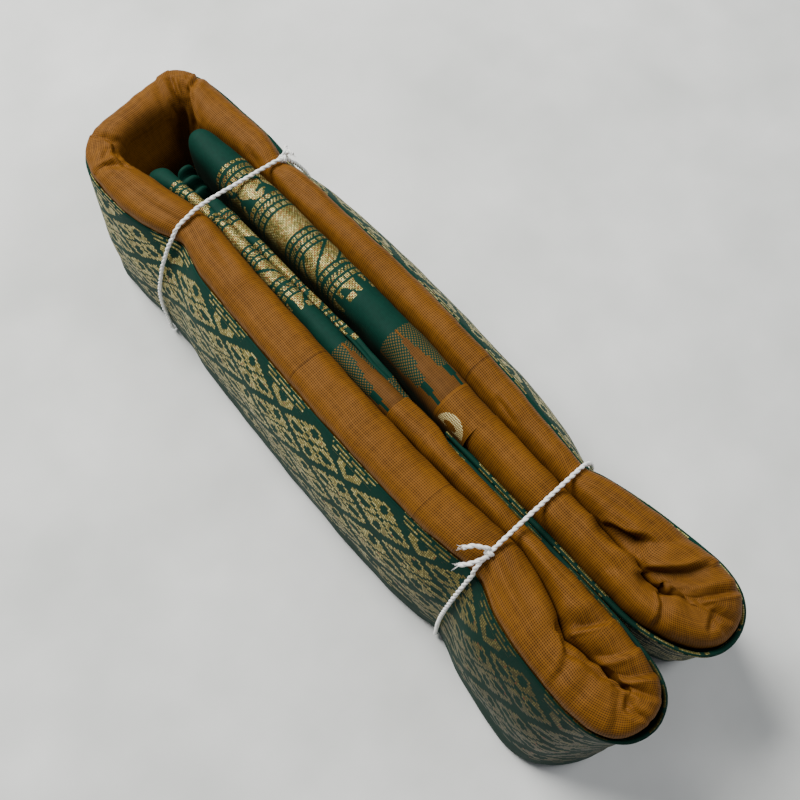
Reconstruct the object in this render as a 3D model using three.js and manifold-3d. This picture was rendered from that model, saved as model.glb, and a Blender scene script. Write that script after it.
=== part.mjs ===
// A folded saree, tied for the shelf with two cotton strings.
//
// The cloth is folded into a strip as tall as its border, and the strip stands on edge: the woven
// border is on its outer face, and the mustard body makes a soft round fold along its top. The strip
// starts inside the bundle at the green end piece, turns back at one lobe, runs down the front, bends
// round the head, comes back along the back, turns at the other lobe and ends inside again.
//
// Millimetres, +Z up. X runs from the head to the two lobes, and the front, with its border in full
// view, faces -Y. The bundle lies flat on its lower folds.

import * as THREE from 'three'
import { mergeVertices } from 'three/addons/utils/BufferGeometryUtils.js'
import Module from 'manifold-3d'

const wasm = await Module()
wasm.setup()

// Cloth
const BORDER_HEIGHT = 73        // the folded width of the cloth, which is the border's own width
const BORDER_WALL = 1.1         // the border and the few layers that hang with it
const SEAM = 0.3                // between neighbouring pieces
const EDGE = SEAM / 2
const CROWN = 83                // the top of the full folds
const DOME_RISE = 10            // how far a full fold stands above the border's top edge
const DOME_ROUNDNESS = 2.3      // 2 is an ellipse, more is squarer
const BULGE_START = 10          // the height where an outer face starts to lean in
const BULGE_POWER = 3.2
const FRONT_LEAN = -9           // how far the feet of the lobes stand apart from their tops
const BACK_LEAN = 16
const LEAN_START = 100          // the stations between which that lean sets in
const LEAN_END = 165
const FOOT_ROUND = 1.4          // the lowest folds turn in by this much
const FOOT_HEIGHT = 6

// String
const STRING = 2.4
const STRING_CLEAR = 0.45       // between a string and the cloth
const STRING_SIDES = 8
const TROUGH = 1.6              // how deep a string presses into the folds
const TROUGH_WIDTH = 5
const GROOVE = STRING + 0.8     // the channel that a string lies in under the bundle
const GROOVE_HEIGHT = STRING + 0.75
const FEET = 43                 // the channel's length is measured between the feet, at -FEET and FEET
const TOP_STARTS = 76           // above this height a string crosses the top
const TOP_FRONT = -40
const TOP_BACK = 36
const KNOT_TURN = 1.45         // the radius of a knot's turns, to the middle of the string

// Where the stretches meet the head and the lobes
const HEAD_JOINT = -130
const LOBE_JOINT = 136

// Stations along the bundle. The y columns are the front border's top edge, the crease between the
// front's two stretches, both sides of the middle, the crease between the back's two stretches and
// the back border's top edge. frontBulge and backBulge say how far each outer face swells below its
// edge, and the last two columns are the tops of the front's inner stretch and of the middle fold.
const ACROSS = [
  {
    x: -130, front: -37.8, frontCrease: -20.3, midFront: -9.6, midBack: 3.0, backCrease: 13.5, back: 32.9,
    frontBulge: 3.2, backBulge: 5, innerTop: 73, middleTop: 68,
  },
  {
    x: -120, front: -37.2, frontCrease: -17.6, midFront: -9.6, midBack: 1.6, backCrease: 16.2, back: 33.6,
    frontBulge: 4, backBulge: 6, innerTop: 75.5, middleTop: 68,
  },
  {
    x: -110, front: -35.0, frontCrease: -15.4, midFront: -9.2, midBack: 1.0, backCrease: 17.6, back: 33.8,
    frontBulge: 5.5, backBulge: 8, innerTop: 77, middleTop: 71,
  },
  {
    x: -102, front: -32.4, frontCrease: -13.8, midFront: -8.7, midBack: 1.0, backCrease: 18.3, back: 33.0,
    frontBulge: 7.5, backBulge: 9.5, innerTop: 77, middleTop: 75,
  },
  {
    x: -95, front: -29.3, frontCrease: -12.7, midFront: -8.3, midBack: 1.0, backCrease: 18.6, back: 31.2,
    frontBulge: 11, backBulge: 11, innerTop: 77, middleTop: 76,
  },
  {
    x: -90, front: -27.7, frontCrease: -12.5, midFront: -8.0, midBack: 1.0, backCrease: 18.8, back: 31.9,
    frontBulge: 13, backBulge: 12.5, innerTop: 77.5, middleTop: 77,
  },
  {
    x: -84, front: -28.9, frontCrease: -12.7, midFront: -7.5, midBack: 1.1, backCrease: 19.0, back: 32.8,
    frontBulge: 11.8, backBulge: 14, innerTop: 78, middleTop: 77,
  },
  {
    x: -72, front: -31.6, frontCrease: -13.2, midFront: -6.6, midBack: 1.3, backCrease: 19.3, back: 33.8,
    frontBulge: 11, backBulge: 15.5, innerTop: 78, middleTop: 77,
  },
  {
    x: -40, front: -33.0, frontCrease: -13.9, midFront: -4.8, midBack: 2.1, backCrease: 19.8, back: 35.1,
    frontBulge: 11.2, backBulge: 16.5, innerTop: 78.5, middleTop: 77,
  },
  {
    x: -10, front: -34.0, frontCrease: -14.3, midFront: -4.2, midBack: 2.8, backCrease: 20.0, back: 35.8,
    frontBulge: 11.7, backBulge: 17, innerTop: 79, middleTop: 76.5,
  },
  {
    x: 20, front: -34.4, frontCrease: -14.5, midFront: -3.9, midBack: 1.8, backCrease: 20.0, back: 35.6,
    frontBulge: 12, backBulge: 17, innerTop: 79.5, middleTop: 75.5,
  },
  {
    x: 46, front: -34.0, frontCrease: -14.1, midFront: -3.3, midBack: 0.6, backCrease: 19.4, back: 34.8,
    frontBulge: 12, backBulge: 16.5, innerTop: 80, middleTop: 74,
  },
  {
    x: 70, front: -33.0, frontCrease: -13.3, midFront: -2.7, midBack: 0.5, backCrease: 18.6, back: 32.8,
    frontBulge: 12, backBulge: 15.5, innerTop: 81, middleTop: 74,
  },
  {
    x: 85, front: -31.2, frontCrease: -12.4, midFront: -2.5, midBack: 0.6, backCrease: 18.3, back: 31.1,
    frontBulge: 12, backBulge: 12.5, innerTop: 81, middleTop: 74,
  },
  {
    x: 94, front: -29.8, frontCrease: -11.6, midFront: -2.4, midBack: 0.7, backCrease: 18.2, back: 30.6,
    frontBulge: 11.5, backBulge: 9.5, innerTop: 81, middleTop: 74,
  },
  {
    x: 101, front: -30.5, frontCrease: -11.4, midFront: -2.3, midBack: 0.8, backCrease: 18.2, back: 32.9,
    frontBulge: 12.2, backBulge: 10, innerTop: 81.5, middleTop: 74,
  },
  {
    x: 112, front: -34.6, frontCrease: -13.2, midFront: -2.2, midBack: 0.9, backCrease: 18.2, back: 36.0,
    frontBulge: 11.5, backBulge: 8, innerTop: 82, middleTop: 74,
  },
  {
    x: 124, front: -37.1, frontCrease: -16.4, midFront: -2.1, midBack: 0.9, backCrease: 18.0, back: 38.6,
    frontBulge: 9.5, backBulge: 4.5, innerTop: 82, middleTop: 74,
  },
  {
    x: 136, front: -38.3, frontCrease: -22.2, midFront: -2.2, midBack: 1.0, backCrease: 16.6, back: 40.4,
    frontBulge: 7.5, backBulge: 2, innerTop: 82, middleTop: 74,
  },
]

// The bends. A row is one section across the strip: its outer shoulder, its inner one, its top, how far
// its outer face swells, and how loosely the border hangs there. Each bend starts and ends on the
// stretches that it joins.
const HEAD = [
  { outX: -137.0, outY: -37.9, inX: -136.0, inY: -21.8, top: 83, bulge: 3, loose: 0 },
  { outX: -143.0, outY: -37.4, inX: -140.0, inY: -22.6, top: 83, bulge: 2, loose: 0 },
  { outX: -149.5, outY: -35.6, inX: -143.0, inY: -22.0, top: 82.5, bulge: 1, loose: 0.1 },
  { outX: -155.0, outY: -32.2, inX: -145.0, inY: -20.2, top: 82, bulge: 0.5, loose: 0.3 },
  { outX: -159.0, outY: -27.4, inX: -146.3, inY: -17.5, top: 82.5, bulge: 0.5, loose: 0.5 },
  { outX: -161.5, outY: -20.5, inX: -147.0, inY: -13.5, top: 83, bulge: 1, loose: 0.5 },
  { outX: -163.0, outY: -12.5, inX: -147.6, inY: -8.0, top: 83, bulge: 2, loose: 0.5 },
  { outX: -164.2, outY: -3.0, inX: -148.0, inY: -2.0, top: 83, bulge: 3, loose: 0.3 },
  { outX: -165.6, outY: 5.0, inX: -148.2, inY: 3.0, top: 83, bulge: 3.5, loose: 0.1 },
  { outX: -167.2, outY: 13.5, inX: -147.8, inY: 7.5, top: 82.5, bulge: 3.5, loose: 0 },
  { outX: -167.4, outY: 21.0, inX: -146.6, inY: 10.6, top: 82, bulge: 3.5, loose: 0 },
  { outX: -163.8, outY: 26.6, inX: -144.6, inY: 12.4, top: 82, bulge: 3.5, loose: 0 },
  { outX: -157.5, outY: 29.9, inX: -142.0, inY: 13.3, top: 82.5, bulge: 4, loose: 0 },
  { outX: -150.0, outY: 31.5, inX: -139.0, inY: 13.6, top: 83, bulge: 4.5, loose: 0 },
  { outX: -140.0, outY: 32.5, inX: -135.5, inY: 13.5, top: 83, bulge: 5, loose: 0 },
]
const FRONT_LOBE = [
  { outX: 147.4, outY: -38.9, inX: 147.0, inY: -20.6, top: 83, bulge: 6, loose: 0 },
  { outX: 157.4, outY: -38.6, inX: 154.5, inY: -20.0, top: 83, bulge: 3, loose: 0 },
  { outX: 165.0, outY: -37.0, inX: 159.0, inY: -19.7, top: 82.5, bulge: -1.5, loose: 0.2 },
  { outX: 171.5, outY: -33.0, inX: 162.0, inY: -19.2, top: 82, bulge: -4.5, loose: 0.6 },
  { outX: 175.5, outY: -27.0, inX: 163.6, inY: -18.8, top: 81.5, bulge: -5.5, loose: 1.4 },
  { outX: 176.6, outY: -19.5, inX: 164.2, inY: -18.2, top: 81.5, bulge: -4.5, loose: 1.8 },
  { outX: 175.0, outY: -12.6, inX: 163.6, inY: -17.7, top: 81.5, bulge: -3, loose: 1.2 },
  { outX: 171.0, outY: -7.6, inX: 161.5, inY: -17.4, top: 82, bulge: -1.5, loose: 0.6 },
  { outX: 164.5, outY: -4.6, inX: 158.0, inY: -17.8, top: 82, bulge: -0.6, loose: 0.2 },
  { outX: 155.0, outY: -3.1, inX: 152.5, inY: -18.6, top: 82, bulge: 0.2, loose: 0 },
  { outX: 146.0, outY: -2.5, inX: 146.0, inY: -19.8, top: 82, bulge: 0.1, loose: 0 },
]
const BACK_LOBE = [
  { outX: 146.0, outY: 41.6, inX: 142.5, inY: 17.2, top: 83.5, bulge: 1, loose: 0 },
  { outX: 155.0, outY: 42.2, inX: 146.5, inY: 18.0, top: 83.5, bulge: 0.5, loose: 0 },
  { outX: 163.5, outY: 40.8, inX: 150.0, inY: 19.0, top: 83, bulge: 0.5, loose: 0 },
  { outX: 169.5, outY: 37.2, inX: 153.0, inY: 19.8, top: 83, bulge: -1, loose: 0.2 },
  { outX: 173.5, outY: 32.0, inX: 155.2, inY: 20.0, top: 82.5, bulge: -2, loose: 0.4 },
  { outX: 175.5, outY: 25.5, inX: 156.0, inY: 19.3, top: 82, bulge: -3, loose: 0.5 },
  { outX: 174.8, outY: 18.8, inX: 155.6, inY: 18.2, top: 82, bulge: -3, loose: 0.8 },
  { outX: 171.5, outY: 13.0, inX: 154.0, inY: 17.0, top: 82, bulge: -2, loose: 1.0 },
  { outX: 165.8, outY: 8.3, inX: 151.2, inY: 16.0, top: 82.5, bulge: 0.4, loose: 0.7 },
  { outX: 158.2, outY: 4.6, inX: 147.8, inY: 15.5, top: 82.5, bulge: 0.3, loose: 0.3 },
  { outX: 150.4, outY: 2.1, inX: 143.8, inY: 15.6, top: 82.5, bulge: 0.2, loose: 0 },
  { outX: 143.4, outY: 1.2, inX: 140.0, inY: 15.9, top: 82.5, bulge: 0.1, loose: 0 },
]

// The largest creases: a trough along a line on top of the folds, with its depth and half width.
const CREASES = [
  { fromX: -138.0, fromY: -22.0, toX: -140.5, toY: -35.0, depth: 3.0, width: 2.2 },
  { fromX: -142.0, fromY: -22.0, toX: -158.0, toY: -24.5, depth: 2.2, width: 2.0 },
  { fromX: -144.0, fromY: 14.0, toX: -153.0, toY: 29.0, depth: 3.0, width: 2.2 },
  { fromX: -146.0, fromY: 9.0, toX: -161.0, toY: 18.0, depth: 3.0, width: 2.4 },
  { fromX: 134.0, fromY: -22.0, toX: 141.0, toY: -8.0, depth: 4.0, width: 2.6 },
  { fromX: 145.0, fromY: -21.0, toX: 156.0, toY: -9.5, depth: 2.6, width: 2.4 },
  { fromX: 153.0, fromY: -20.0, toX: 165.0, toY: -9.0, depth: 2.4, width: 2.2 },
  { fromX: 162.0, fromY: -19.0, toX: 170.0, toY: -27.0, depth: 2.6, width: 2.0 },
  { fromX: 142.5, fromY: 16.5, toX: 152.0, toY: 6.0, depth: 3.6, width: 2.4 },
  { fromX: 137.0, fromY: 18.0, toX: 150.0, toY: 34.0, depth: 4.0, width: 4.5 },
  { fromX: 153.0, fromY: 21.0, toX: 161.0, toY: 34.0, depth: 2.4, width: 2.2 },
  { fromX: 156.0, fromY: 19.0, toX: 169.0, toY: 22.5, depth: 2.4, width: 2.0 },
  { fromX: 122.0, fromY: 18.5, toX: 130.0, toY: 25.0, depth: 5.0, width: 3.0 },
]

// The two strings: where each crosses the top, from front to back, and where it lies down the front.
const HEAD_TIE = {
  frontX: [{ z: 0, x: -98.8 }, { z: 30, x: -99.2 }, { z: 56, x: -95.8 }, { z: 76, x: -93.6 }],
  topX: [
    { y: -40, x: -93.6 }, { y: -24, x: -93.4 }, { y: -14, x: -94.8 }, { y: 6, x: -93.8 }, { y: 36, x: -91.5 },
  ],
  backX: [{ z: 0, x: -95.0 }, { z: 40, x: -94.6 }, { z: 70, x: -93.0 }, { z: 76, x: -92.0 }],
  knotY: 28.5,
  ends: [[{ x: -92.4, y: 30.2, z: 85.6 }, { x: -93.2, y: 31.6, z: 87.0 }]],
}
const LOBE_TIE = {
  frontX: [{ z: 0, x: 95.0 }, { z: 35, x: 95.6 }, { z: 60, x: 96.2 }, { z: 76, x: 96.6 }],
  topX: [{ y: -40, x: 96.4 }, { y: -18, x: 95.4 }, { y: 8, x: 94.4 }, { y: 36, x: 93.5 }],
  backX: [{ z: 0, x: 93.0 }, { z: 40, x: 93.0 }, { z: 76, x: 93.4 }],
  knotY: -23.0,
  ends: [
    [{ x: 91.6, y: -25.4, z: 87.2 }, { x: 87.6, y: -29.8, z: 85.6 }],
    [{ x: 93.8, y: -29.0, z: 86.4 }, { x: 90.8, y: -35.6, z: 82.4 }],
  ],
}

const plan = (x, y) => new THREE.Vector2(x, y)

// Smooth values between the rows of a table, by one of its columns
function between (rows, key, value) {
  let i = 0
  while (i < rows.length - 2 && value > rows[i + 1][key]) i++
  const a = rows[i]
  const b = rows[i + 1]
  const before = rows[Math.max(i - 1, 0)]
  const after = rows[Math.min(i + 2, rows.length - 1)]
  const span = b[key] - a[key]
  const t = THREE.MathUtils.clamp((value - a[key]) / span, 0, 1)
  const result = {}
  for (const column of Object.keys(a)) {
    const slopeA = (b[column] - before[column]) / (b[key] - before[key]) * span
    const slopeB = (after[column] - a[column]) / (after[key] - a[key]) * span
    const rise = b[column] - a[column]
    result[column] = a[column] + t * slopeA + t * t * (3 * rise - 2 * slopeA - slopeB) +
      t * t * t * (slopeA + slopeB - 2 * rise)
  }
  return result
}

// How far an outer face stands out at height z, for a given swell
function swell (bulge, z) {
  const lean = Math.max(0, (z - BULGE_START) / (BORDER_HEIGHT - BULGE_START))
  const foot = Math.max(0, 1 - z / FOOT_HEIGHT)
  return bulge * (1 - lean ** BULGE_POWER) - FOOT_ROUND * foot * foot
}

// Towards the lobes the two halves of the bundle lean together at the top, so their feet stand apart
function leaning (p, half) {
  const side = half < 0 ? FRONT_LEAN : BACK_LEAN
  const low = Math.max(0, 1 - p.z / BORDER_HEIGHT)
  p.y += side * THREE.MathUtils.smoothstep(p.x, LEAN_START, LEAN_END) * low
  return p
}

// The depth of all creases at a point of the top
function creased (x, y) {
  let depth = 0
  for (const crease of CREASES) {
    const lineX = crease.toX - crease.fromX
    const lineY = crease.toY - crease.fromY
    const along = ((x - crease.fromX) * lineX + (y - crease.fromY) * lineY) / (lineX ** 2 + lineY ** 2)
    const t = THREE.MathUtils.clamp(along, 0, 1)
    const away = Math.hypot(x - crease.fromX - t * lineX, y - crease.fromY - t * lineY)
    const fade = 1 - 0.8 * t
    depth += crease.depth * fade * Math.exp(-((away / crease.width) ** 2))
  }
  return depth
}

// The soft trough that a string presses into the folds
function pressed (x, y) {
  let depth = 0
  for (const tie of [HEAD_TIE, LOBE_TIE]) {
    const away = x - between(tie.topX, 'y', THREE.MathUtils.clamp(y, TOP_FRONT, TOP_BACK)).x
    depth += TROUGH * Math.exp(-((away / TROUGH_WIDTH) ** 2))
  }
  return depth
}

// One section across a stretch: out and in are its shoulders in plan, top is its crown
function section (out, inner, top, bulge, outerShoulder, loose = 0) {
  const across = new THREE.Vector2().subVectors(out, inner)
  const innerShoulder = top - Math.min(DOME_RISE, 0.6 * across.length())
  const away = across.normalize()
  return { out, inner, away, top, bulge, outerShoulder: outerShoulder ?? innerShoulder, innerShoulder, loose }
}

const FACE_LEVELS = [FOOT_HEIGHT, 22, 36, 48, 58, 66]
const INNER_LEVELS = [0, 40]
const DOME_STEPS = 7

function signedPower (value, power) {
  return Math.sign(value) * Math.abs(value) ** power
}

function stackRing (s) {
  const ring = []
  const squat = Math.min(1, (s.outerShoulder - 3) / 66.5)
  for (const level of [0, ...FACE_LEVELS]) {
    const z = level * squat
    const p = s.out.clone().addScaledVector(s.away, swell(s.bulge, z))
    ring.push(new THREE.Vector3(p.x, p.y, z))
  }
  for (let i = 0; i <= DOME_STEPS; i++) {
    const turn = Math.PI * i / DOME_STEPS
    const across = (1 - signedPower(Math.cos(turn), 2 / DOME_ROUNDNESS)) / 2
    const up = Math.sin(turn) ** (2 / DOME_ROUNDNESS)
    const p = s.out.clone().lerp(s.inner, across)
    const shoulder = THREE.MathUtils.lerp(s.outerShoulder, s.innerShoulder, across)
    const crown = s.top - pressed(p.x, p.y) - creased(p.x, p.y)
    ring.push(new THREE.Vector3(p.x, p.y, shoulder + (crown - shoulder) * up))
  }
  for (const z of [...INNER_LEVELS].reverse()) {
    ring.push(new THREE.Vector3(s.inner.x, s.inner.y, z))
  }
  const half = Math.sign(s.out.y + s.inner.y)
  return ring.map(p => leaning(p, half))
}

// A border wall on the outside of a section
const BORDER_LEVELS = [0.4, ...FACE_LEVELS, BORDER_HEIGHT]
function borderRing (s) {
  const ring = []
  const face = (z, out) => {
    const p = s.out.clone().addScaledVector(s.away, swell(s.bulge, z) + SEAM + s.loose + out)
    ring.push(new THREE.Vector3(p.x, p.y, z))
  }
  for (const z of BORDER_LEVELS) face(z, BORDER_WALL)
  for (const z of [...BORDER_LEVELS].reverse()) face(z, 0)
  const half = Math.sign(s.out.y + s.inner.y)
  return ring.map(p => leaning(p, half))
}

// A closed solid through equal rings. Each end is closed by a fan about its middle or, in a thin wall,
// by strips from one face to the other. A wall's inner face has its quads cut as the stack behind has.
function loft (rings, thin = false) {
  const points = rings.flat()
  const count = rings[0].length
  const index = []
  for (let i = 0; i + 1 < rings.length; i++) {
    for (let j = 0; j < count; j++) {
      const k = (j + 1) % count
      const a = i * count + j
      const b = i * count + k
      if (thin && j >= count / 2) index.push(a, b, a + count, b, b + count, a + count)
      else index.push(a, b, b + count, a, b + count, a + count)
    }
  }
  for (const [start, near] of [[0, true], [(rings.length - 1) * count, false]]) {
    const face = (a, b, c) => near ? index.push(a, c, b) : index.push(a, b, c)
    if (thin) {
      for (let j = 0; j + 1 < count / 2; j++) {
        const a = start + j
        const b = start + count - 1 - j
        face(a, a + 1, b)
        face(a + 1, b - 1, b)
      }
    } else {
      const middle = new THREE.Vector3()
      for (let j = 0; j < count; j++) middle.addScaledVector(points[start + j], 1 / count)
      points.push(middle)
      for (let j = 0; j < count; j++) face(start + j, start + (j + 1) % count, points.length - 1)
    }
  }
  const geometry = new THREE.BufferGeometry().setFromPoints(points)
  geometry.setIndex(index)
  return outward(geometry)
}

// Faces turned to point out
function outward (geometry) {
  const position = geometry.getAttribute('position')
  const index = geometry.getIndex().array
  let volume = 0
  const a = new THREE.Vector3()
  const b = new THREE.Vector3()
  const c = new THREE.Vector3()
  for (let i = 0; i < index.length; i += 3) {
    a.fromBufferAttribute(position, index[i])
    b.fromBufferAttribute(position, index[i + 1])
    c.fromBufferAttribute(position, index[i + 2])
    volume += a.dot(b.cross(c))
  }
  if (volume < 0) {
    for (let i = 0; i < index.length; i += 3) {
      const swap = index[i + 1]
      index[i + 1] = index[i + 2]
      index[i + 2] = swap
    }
  }
  return geometry
}

function solid (geometry) {
  const plain = geometry.clone()
  plain.deleteAttribute('normal')
  plain.deleteAttribute('uv')
  const merged = mergeVertices(plain, 1e-4)
  const vertProperties = new Float32Array(merged.getAttribute('position').array)
  const triVerts = new Uint32Array(merged.getIndex().array)
  return new wasm.Manifold(new wasm.Mesh({ numProp: 3, vertProperties, triVerts }))
}

function geometryOf (body) {
  const mesh = body.getMesh()
  const geometry = new THREE.BufferGeometry()
  geometry.setAttribute('position', new THREE.BufferAttribute(new Float32Array(mesh.vertProperties), 3))
  geometry.setIndex(new THREE.BufferAttribute(new Uint32Array(mesh.triVerts), 1))
  return geometry
}

// The line that a string follows under the bundle, from the front foot to the back one
function underX (tie, y) {
  return THREE.MathUtils.mapLinear(y, -FEET, FEET, tie.frontX[0].x, tie.backX[0].x)
}

// The channel that it lies in there
function channel (tie) {
  const reach = 80
  const from = plan(underX(tie, -reach), -reach)
  const to = plan(underX(tie, reach), reach)
  const half = GROOVE / 2
  const arch = new THREE.Shape()
  arch.moveTo(-half, -1)
  arch.lineTo(half, -1)
  arch.lineTo(half, GROOVE_HEIGHT - half / 2)
  arch.lineTo(half / 2, GROOVE_HEIGHT)
  arch.lineTo(-half / 2, GROOVE_HEIGHT)
  arch.lineTo(-half, GROOVE_HEIGHT - half / 2)
  const geometry = new THREE.ExtrudeGeometry(arch, { depth: from.distanceTo(to), bevelEnabled: false })
  geometry.rotateX(Math.PI / 2)
  geometry.rotateZ(Math.atan2(to.y - from.y, to.x - from.x) + Math.PI / 2)
  geometry.translate(from.x, from.y, 0)
  return solid(geometry)
}
const channels = [channel(HEAD_TIE), channel(LOBE_TIE)]

function grooved (geometry) {
  let body = solid(geometry)
  for (const cut of channels) body = body.subtract(cut)
  return geometryOf(body)
}

// Stations along a stretch, closer together at the strings and towards the head and the lobes. All
// stretches share them, so that neighbours keep their gap.
const MARKS = [-126, -121, -116, -111, -107, 107, 112, 117, 122, 127, 131]
for (let x = -77; x <= 77; x += 14) MARKS.push(x)
for (const tieX of [-94, 95]) {
  for (const near of [-9, -5, -2, 2, 5, 9]) MARKS.push(tieX + near)
}
function stations (from, to) {
  const inside = MARKS.filter(x => x > from + 1.9 && x < to - 1.9).sort((a, b) => a - b)
  return [from, ...inside, to]
}

const at = x => between(ACROSS, 'x', x)

// Sections of the four stretches and the middle fold at a station
function outerFront (x) {
  const { front, frontCrease, frontBulge } = at(x)
  return section(plan(x, front), plan(x, frontCrease - EDGE), CROWN, frontBulge, BORDER_HEIGHT)
}
function innerFront (x) {
  const { frontCrease, midFront, innerTop } = at(x)
  return section(plan(x, midFront), plan(x, frontCrease + EDGE), innerTop, 0)
}
function middle (x) {
  const { midFront, midBack, middleTop } = at(x)
  return section(plan(x, midFront + SEAM), plan(x, midBack - SEAM), middleTop, 0)
}
function innerBack (x) {
  const { midBack, backCrease } = at(x)
  return section(plan(x, midBack), plan(x, backCrease - EDGE), CROWN, 0)
}
function outerBack (x) {
  const { backCrease, back, backBulge } = at(x)
  return section(plan(x, back), plan(x, backCrease + EDGE), CROWN, backBulge, BORDER_HEIGHT)
}

// A fold's closed end: its sections draw in towards their middle over the last few millimetres
function closedEnd (make, endX, radius, drop) {
  return x => {
    const s = make(x)
    const t = THREE.MathUtils.clamp(Math.abs(x - endX) / radius, 0, 1)
    const full = Math.max(0.12, Math.sqrt(1 - (1 - t) ** 2))
    const centre = s.out.clone().lerp(s.inner, 0.5)
    const out = centre.clone().lerp(s.out, full)
    const inner = centre.clone().lerp(s.inner, full)
    return section(out, inner, s.top - drop * (1 - full), s.bulge)
  }
}

// A bend from one section to another through the rows of its table
function bend (first, rows, last, steps) {
  const asRow = ({ out, inner, top, bulge, loose }) => (
    { outX: out.x, outY: out.y, inX: inner.x, inY: inner.y, top, bulge, loose })
  const all = [asRow(first), ...rows, asRow(last)].map((row, i) => ({ ...row, mark: i }))
  const result = []
  for (let i = 0; i <= steps; i++) {
    const r = between(all, 'mark', i / steps * (all.length - 1))
    result.push(section(plan(r.outX, r.outY), plan(r.inX, r.inY), r.top, r.bulge, BORDER_HEIGHT, r.loose))
  }
  return result
}

// Cloth and string, with the photo's colours
const mustard = () => new THREE.MeshStandardMaterial({ color: 0x9c641a, roughness: 0.72, metalness: 0 })
const green = () => new THREE.MeshStandardMaterial({ color: 0x17493a, roughness: 0.75, metalness: 0 })
const zari = () => new THREE.MeshStandardMaterial({ color: 0x8f8452, roughness: 0.5, metalness: 0.35 })
const cotton = () => new THREE.MeshStandardMaterial({ color: 0xe9e6de, roughness: 0.85, metalness: 0 })

const bundle = new THREE.Group()

function add (name, geometry, material) {
  const mesh = new THREE.Mesh(geometry, material)
  mesh.name = name
  bundle.add(mesh)
}

const stack = sections => grooved(loft(sections.map(stackRing)))
const wall = sections => grooved(loft(sections.map(borderRing), true))
const stretch = (make, from, to) => stations(from, to).map(make)

// Where the green end piece gives way to the mustard body on the two inner stretches
const FRONT_PALLU_END = 22
const BACK_PALLU_END = 36
const BACK_NOSE = -131.5
const FRONT_NOSE = -132.5
const MIDDLE_NOSE = -104
const MIDDLE_TAIL = 46
const INNER_BORDER_START = 47

// A rounded nose takes this length, in these steps, and its top drops by so much
const NOSE = 7
const NOSE_MARKS = [0, 0.8, 2.2, 4.2, NOSE]
const NOSE_DROP = 7
const withNose = (make, nose, to) => [
  ...NOSE_MARKS.map(mark => closedEnd(make, nose, NOSE, NOSE_DROP)(nose + mark)),
  ...stations(nose + NOSE + 1, to).slice(1).map(make),
]

// The outer stretches and their borders
const frontRun = stretch(outerFront, HEAD_JOINT + EDGE, LOBE_JOINT - EDGE)
const backRun = stretch(outerBack, HEAD_JOINT + EDGE, LOBE_JOINT - EDGE)
add('body_front_outer', stack(frontRun), mustard())
add('body_back_outer', stack(backRun), mustard())
add('border_front', wall(frontRun), zari())
add('border_back', wall(backRun), zari())

// The head
const headRun = bend(outerFront(HEAD_JOINT - EDGE), HEAD, outerBack(HEAD_JOINT - EDGE), 26)
add('body_head_bend', stack(headRun), mustard())
add('border_head', wall(headRun), zari())

// The two lobes
const frontLobe = bend(outerFront(LOBE_JOINT + EDGE), FRONT_LOBE, innerFront(LOBE_JOINT + EDGE), 21)
const backLobe = bend(outerBack(LOBE_JOINT + EDGE), BACK_LOBE, innerBack(LOBE_JOINT + EDGE), 21)
add('body_front_lobe', stack(frontLobe), mustard())
add('body_back_lobe', stack(backLobe), mustard())
add('border_front_lobe', wall(frontLobe), zari())
add('border_back_lobe', wall(backLobe), zari())

// The inner stretches, mustard towards the lobes and green towards the head
add('body_front_inner', stack(stretch(innerFront, FRONT_PALLU_END + EDGE, LOBE_JOINT - EDGE)), mustard())
add('body_back_inner', stack(stretch(innerBack, BACK_PALLU_END + EDGE, LOBE_JOINT - EDGE)), mustard())
add('pallu_front', stack(withNose(innerFront, FRONT_NOSE, FRONT_PALLU_END - EDGE)), green())
add('pallu_back', stack(withNose(innerBack, BACK_NOSE, BACK_PALLU_END - EDGE)), green())

// Their borders face each other across the middle
const innerWall = make => wall(stretch(make, INNER_BORDER_START, LOBE_JOINT - EDGE))
add('border_front_inner', innerWall(innerFront), zari())
add('border_back_inner', innerWall(innerBack), zari())

// The cloth's first folds in the middle, from a rounded end near the head to a thin tail
const MIDDLE_NOSE_DROP = 5
const MIDDLE_TAIL_DROP = 3
const middleNose = NOSE_MARKS.map(mark => (
  closedEnd(middle, MIDDLE_NOSE, NOSE, MIDDLE_NOSE_DROP)(MIDDLE_NOSE + mark)))
const middleTail = [...NOSE_MARKS].reverse().map(mark => (
  closedEnd(middle, MIDDLE_TAIL, NOSE, MIDDLE_TAIL_DROP)(MIDDLE_TAIL - mark)))
const middleRun = stations(MIDDLE_NOSE + NOSE + 5, MIDDLE_TAIL - NOSE - 5).map(middle)
add('pallu_middle', stack([...middleNose, ...middleRun, ...middleTail]), green())

// The end piece's loose corner, crumpled in behind them
const TUCK_FROM = -127.5
const TUCK_TO = MIDDLE_NOSE - 1
const TUCK_TOP = 67
const TUCK_STEPS = 12
const TUCK_END = 4.5
const TUCK_ROOM = 0.9           // it swings by less than this room on each side
const TUCK_SWING = 0.7
const TUCK_RISE = 2.2
function tuckSection (x) {
  const s = middle(x)
  const swing = TUCK_SWING * Math.sin((x - TUCK_FROM) * 0.62)
  const out = plan(x, s.out.y + TUCK_ROOM + swing)
  const inner = plan(x, s.inner.y - TUCK_ROOM + swing)
  return section(out, inner, TUCK_TOP + TUCK_RISE * Math.sin((x - TUCK_FROM) * 0.85), 0)
}
const tuckRun = []
for (let i = 0; i <= TUCK_STEPS; i++) {
  const x = THREE.MathUtils.lerp(TUCK_FROM, TUCK_TO, i / TUCK_STEPS)
  const near = i < TUCK_STEPS / 2 ? TUCK_FROM : TUCK_TO
  tuckRun.push(closedEnd(tuckSection, near, TUCK_END, TUCK_END)(x))
}
add('pallu_tuck', stack(tuckRun), green())

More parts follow.
